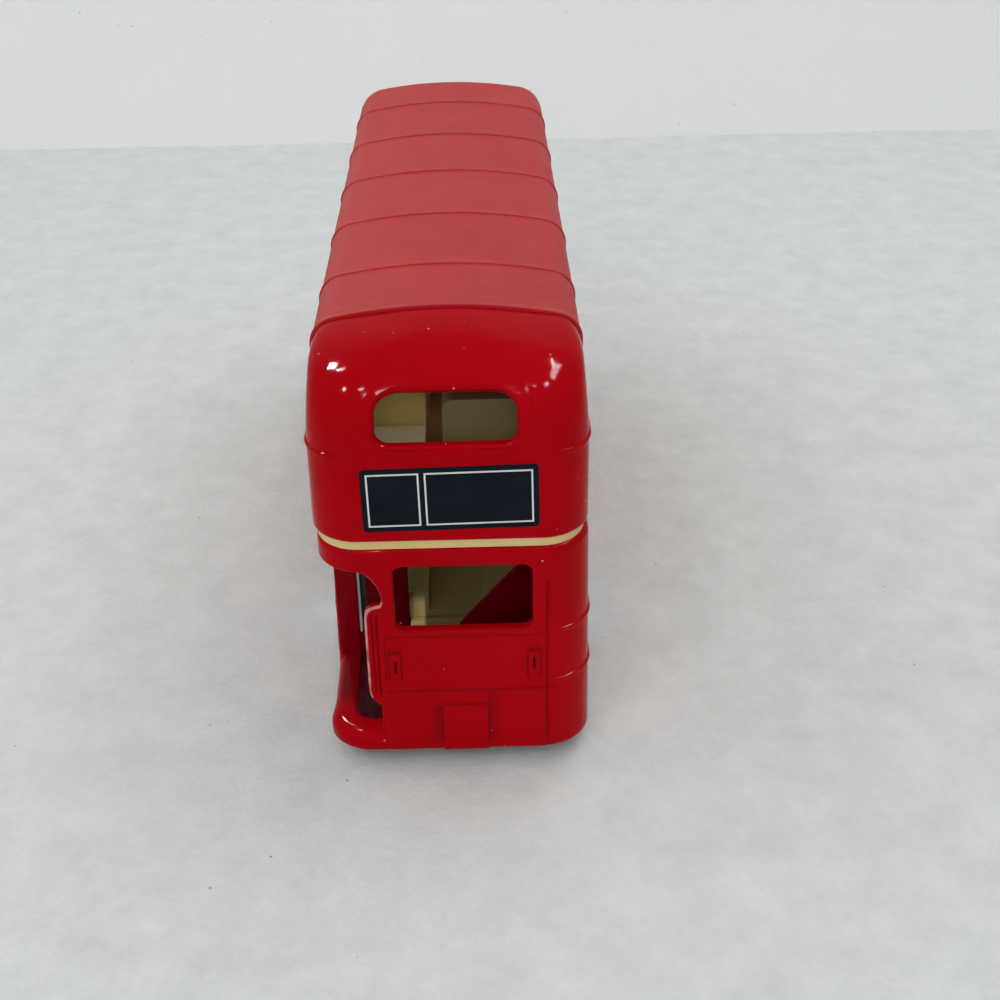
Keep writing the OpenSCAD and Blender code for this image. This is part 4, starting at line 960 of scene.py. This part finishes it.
# Profiles along the roof: place from the lip or rib, and lift
LIP_ROWS = ((0, -0.2), (0.01, 0.08), (0.04, 0.15), (0.1, 0.19), (0.2, 0.2), (0.4, 0.17), (0.7, 0.09),
            (1.05, 0.02), (1.4, 0.0))
RIB_ROWS = ((-0.8, 0), (-0.4, -0.01), (-0.24, -0.04), (-0.2, -0.02), (-0.18, 0.12), (-0.14, 0.18),
            (-0.06, 0.215), (0.06, 0.21), (0.25, 0.16), (0.5, 0.08), (0.8, 0.025), (1.2, 0))


def arch_points(hw, rise, rs, k):
    """Cambered section with round shoulders, from foot to foot, with its heights times k."""
    tilt, sx, _, drop = section(hw, rs)
    half = [(hw, 0), (hw, k * (rise - drop) * 0.5)]
    for i in range(15):
        a = (math.pi / 2 - tilt) * i / 14
        half.append((hw - rs + rs * math.cos(a), k * (rise - drop + rs * math.sin(a))))
    for f in (0.86, 0.7, 0.55, 0.4, 0.26, 0.13):
        half.append((sx * f, k * (rise - (sx * f) ** 2 / (2 * CAMBER))))
    return half + [(0, k * rise)] + [(-x, z) for x, z in reversed(half)]


def roof_build():
    """Sections through the moulding, outside and inside, joined along it."""
    lip = LIP_Y + 0.12
    stations = [(lip + dy, lift) for dy, lift in LIP_ROWS]
    stations += [(y + dy, lift) for y in RIBS for dy, lift in RIB_ROWS]
    starts = [lip + LIP_ROWS[-1][0]] + [y + RIB_ROWS[-1][0] for y in RIBS]
    ends = [y + RIB_ROWS[0][0] for y in RIBS] + [NOSE_Y]
    for a, b in zip(starts, ends):
        stations += [(a + (b - a) * k / 5, 0) for k in range(1, 5)]
    stations += [(NOSE_Y + NOSE * math.sin(math.radians(5 * k)), 0) for k in range(19)]
    stations.sort()
    verts, faces = [], []
    for y, lift in stations:
        d = max(0.0, y - (ROOF_FRONT - FRONT_R))
        hw = ROOF_HW - FRONT_R + math.sqrt(max(0.0, FRONT_R ** 2 - d * d))
        s = max(0.0, y - NOSE_Y) / NOSE
        k = NOSE_FOOT + (1 - NOSE_FOOT) * max(0.0, 1 - s ** NOSE_POWER) ** (1 / NOSE_POWER)
        thin_k = max(0.02, (RISE * k - ROOF_T) / (RISE - ROOF_T))
        ring = arch_points(hw + lift, RISE + lift, SHOULDER + lift, k)
        thin = arch_points(hw - ROOF_T, RISE - ROOF_T, SHOULDER - ROOF_T, thin_k)
        verts += [(x, y, SEAT_Z + z) for x, z in ring + thin[::-1]]
    n = len(verts) // len(stations)
    for j in range(len(stations) - 1):
        for i in range(n):
            a, b = j * n + i, j * n + (i + 1) % n
            faces.append((a, a + n, b + n, b))
    half = n // 2
    for j in (0, len(stations) - 1):
        for i in range(half - 1):
            a, c = j * n + i, j * n + n - 2 - i
            quad = (a, a + 1, c, c + 1)
            faces.append(quad if j == 0 else quad[::-1])
    return verts, faces


verts, faces = roof_build()
roof = add_mesh("roof_moulding", verts, faces, ROOF, sharp=50)
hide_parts("roof_cover")

# Bare panel over the band
PANEL_AT, PANEL_TURN = (0.17, 43.05), math.radians(0.9)
PANEL_HALF, PANEL_LIFT, LINE_LIFT = (11.0, 4.42), 0.07, 0.09
LINE_W, FRAME_Z, FRAMES_X = 0.22, 3.72, ((-10.3, -3.75), (-3.1, 10.3))


def panel_y(z):
    return REAR + np.interp(z, ARC_Z[:PANEL_ROWS], ARC_RUN[:PANEL_ROWS])


def tilted(x, z):
    """Panel coordinates, from its middle, to the rear wall."""
    c, s = math.cos(PANEL_TURN), math.sin(PANEL_TURN)
    return PANEL_AT[0] + x * c - z * s, PANEL_AT[1] + x * s + z * c


def sticker(name, x0, z0, x1, z1, r, lift, mat, cells):
    """A thin round-cornered skin that lies on the rear wall."""
    verts, faces = [], []
    corner = [r * (1 - math.cos(math.radians(a))) for a in range(0, 91, 10)]
    steps = [(z1 - z0) * k / cells for k in range(1, cells)]
    levels = sorted({z0 + c for c in corner} | {z1 - c for c in corner}
                    | {z0 + d for d in steps if r < d < z1 - z0 - r})
    cols = 12
    for up_level in (True, False):
        for z in levels:
            d = max(0.0, z0 + r - z, z - z1 + r)
            cut = r - math.sqrt(max(0.0, r * r - d * d))
            for k in range(cols + 1):
                x, h = tilted(x0 + cut + (x1 - x0 - 2 * cut) * k / cols, z)
                verts.append((x, float(panel_y(h)) - (lift if up_level else -0.02), h))
    n, m = len(levels), cols + 1
    for j in range(n - 1):
        for k in range(cols):
            a = j * m + k
            faces.append((a, a + 1, a + m + 1, a + m))
            faces.append(tuple(n * m + i for i in (a + m, a + m + 1, a + 1, a)))
        for k in (0, cols):
            a, b = j * m + k, (j + 1) * m + k
            faces.append((b, n * m + b, n * m + a, a)[:: 1 if k else -1])
    for k in range(cols):
        for j in (0, n - 1):
            a = j * m + k
            faces.append((a + 1, a, n * m + a, n * m + a + 1)[:: 1 if j == 0 else -1])
    ob = add_mesh(name, verts, faces, mat)
    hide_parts("upper_body")
    return ob


INK = coat("panel_ink", (0.004, 0.007, 0.012), (0.007, 0.0105, 0.018), 0.3, 0.45, 250, 0.0)
PALE = coat("panel_line", (0.62, 0.63, 0.62), (0.72, 0.72, 0.71), 0.4, 0.6, 500, 0.0)
INK.node_tree.nodes["Principled BSDF"].inputs["Specular IOR Level"].default_value = 0.05
sticker("rear_panel", -PANEL_HALF[0], -PANEL_HALF[1], *PANEL_HALF, 0.6, PANEL_LIFT, INK, 22)
strips = []
for x0, x1 in FRAMES_X:
    z = FRAME_Z - LINE_W
    strips += [(x0, z, x1, FRAME_Z), (x0, -FRAME_Z, x1, -z)]
    strips += [(x0, -z, x0 + LINE_W, z), (x1 - LINE_W, -z, x1, z)]
for i, strip in enumerate(strips):
    sticker(f"rear_panel_line_{i + 1}", *strip, 0.02, LINE_LIFT, PALE, 6)


# Stage, light and camera
STAGE, WALL_Y, WALL_TOP, SKEW, RECLINE = 1500, 224, 900, 8, 100
CAMERA_AT, CAMERA_TURN = (3.879, REAR - 147.351, 133.379), (0.98715, 29.14558, -0.82584)
LENS, SHIFT = 50.4, -0.06
BUS_MIDDLE = (0, -50, 50)


def stage_mat(name, a, b, scale, rough):
    mat, nt, bsdf = new_mat(name)
    tone = ramp(nt, noise(nt, scale, 8, 0.75), [(0.3, a), (0.7, b)])
    nt.links.new(mix(nt, dots(nt, 130, 0.03), tone, (0.3, 0.29, 0.28)), bsdf.inputs["Base Color"])
    bsdf.inputs["Roughness"].default_value = rough
    bsdf.inputs["Specular IOR Level"].default_value = 0.2
    bump(nt, bsdf, noise(nt, 900, 6, 0.7), 0.35, 0.0006)
    return mat


def stage_plane(name, corners, mat):
    mesh = bpy.data.meshes.new(name)
    mesh.from_pydata([tuple(c * MM for c in p) for p in corners], [], [tuple(range(len(corners)))])
    mesh.materials.append(mat)
    ob = bpy.data.objects.new(name, mesh)
    bpy.context.scene.collection.objects.link(ob)
    return ob


FLOOR = stage_mat("floor_felt", (0.59, 0.61, 0.595), (0.71, 0.73, 0.715), 120, 0.9)
PAPER = stage_mat("backdrop", (0.88, 0.89, 0.875), (0.9, 0.91, 0.895), 40, 0.9)
foot_left, foot_right = (-STAGE, WALL_Y - SKEW, 0), (STAGE, WALL_Y + SKEW, 0)
top_left, top_right = (-STAGE, WALL_Y - SKEW + RECLINE, WALL_TOP), (STAGE, WALL_Y + SKEW + RECLINE, WALL_TOP)
stage_plane("floor", [(-STAGE, -STAGE, 0), (STAGE, -STAGE, 0), foot_right, foot_left], FLOOR)
stage_plane("backdrop", [foot_left, foot_right, top_right, top_left], PAPER)


def area(name, at, target, size, power, color=(1, 1, 1), size_y=None):
    light = bpy.data.lights.new(name, "AREA")
    light.energy = power
    light.color = color
    light.size = size * MM
    if size_y:
        light.shape = "RECTANGLE"
        light.size_y = size_y * MM
    ob = bpy.data.objects.new(name, light)
    bpy.context.scene.collection.objects.link(ob)
    ob.location = Vector(at) * MM
    ob.rotation_euler = (Vector(target) - Vector(at)).to_track_quat("-Z", "Y").to_euler()
    return ob


area("overhead", (230, 150, 610), (130, 150, 0), 380, 0.95, (1.0, 0.99, 0.97)).visible_glossy = False
area("fill", (-120, -520, 440), (0, -40, 20), 500, 1.5).visible_glossy = False
area("side", (-520, -20, 470), (0, 0, 20), 300, 0.35).visible_glossy = False
for name, at, width, height, power in (
    ("left_pane", (-365, 110, 560), 80, 85, 9), ("left_strip", (-290, 20, 580), 12, 80, 1.2),
    ("right_pane", (345, -60, 580), 250, 90, 6), ("right_strip", (300, 60, 600), 90, 16, 1),
    ("left_back", (-300, -300, 560), 40, 60, 1.8), ("right_back", (260, -300, 570), 70, 30, 2.2),
    ("left_near", (-62, -364, 560), 26, 14, 0.35), ("right_near", (75, -364, 560), 26, 14, 0.35),
):
    area(name, at, BUS_MIDDLE, width, power, size_y=height).visible_diffuse = False
world = bpy.data.worlds.new("studio")
bpy.context.scene.world = world
world.use_nodes = True
world.node_tree.nodes["Background"].inputs["Color"].default_value = (0.95, 0.975, 1.0, 1)
world.node_tree.nodes["Background"].inputs["Strength"].default_value = 0.5

bpy.context.scene.view_settings.view_transform = "Standard"
yaw, pitch, roll = (math.radians(a) for a in CAMERA_TURN)
look = Vector((math.sin(yaw) * math.cos(pitch), math.cos(yaw) * math.cos(pitch), -math.sin(pitch)))
right = Vector((math.cos(yaw), -math.sin(yaw), 0))
upward = right.cross(look)
cam_x = right * math.cos(roll) + upward * math.sin(roll)
cam_y = upward * math.cos(roll) - right * math.sin(roll)
cam = bpy.data.objects.new("camera", bpy.data.cameras.new("camera"))
cam.data.lens = LENS
cam.data.sensor_width = 36
cam.data.shift_y = SHIFT
cam.data.clip_start = 0.005
cam.data.clip_end = 20
stand = Matrix((cam_x, cam_y, -look)).transposed().to_4x4()
stand.translation = Vector(CAMERA_AT) * MM
cam.matrix_world = stand
bpy.context.scene.collection.objects.link(cam)
bpy.context.scene.camera = cam
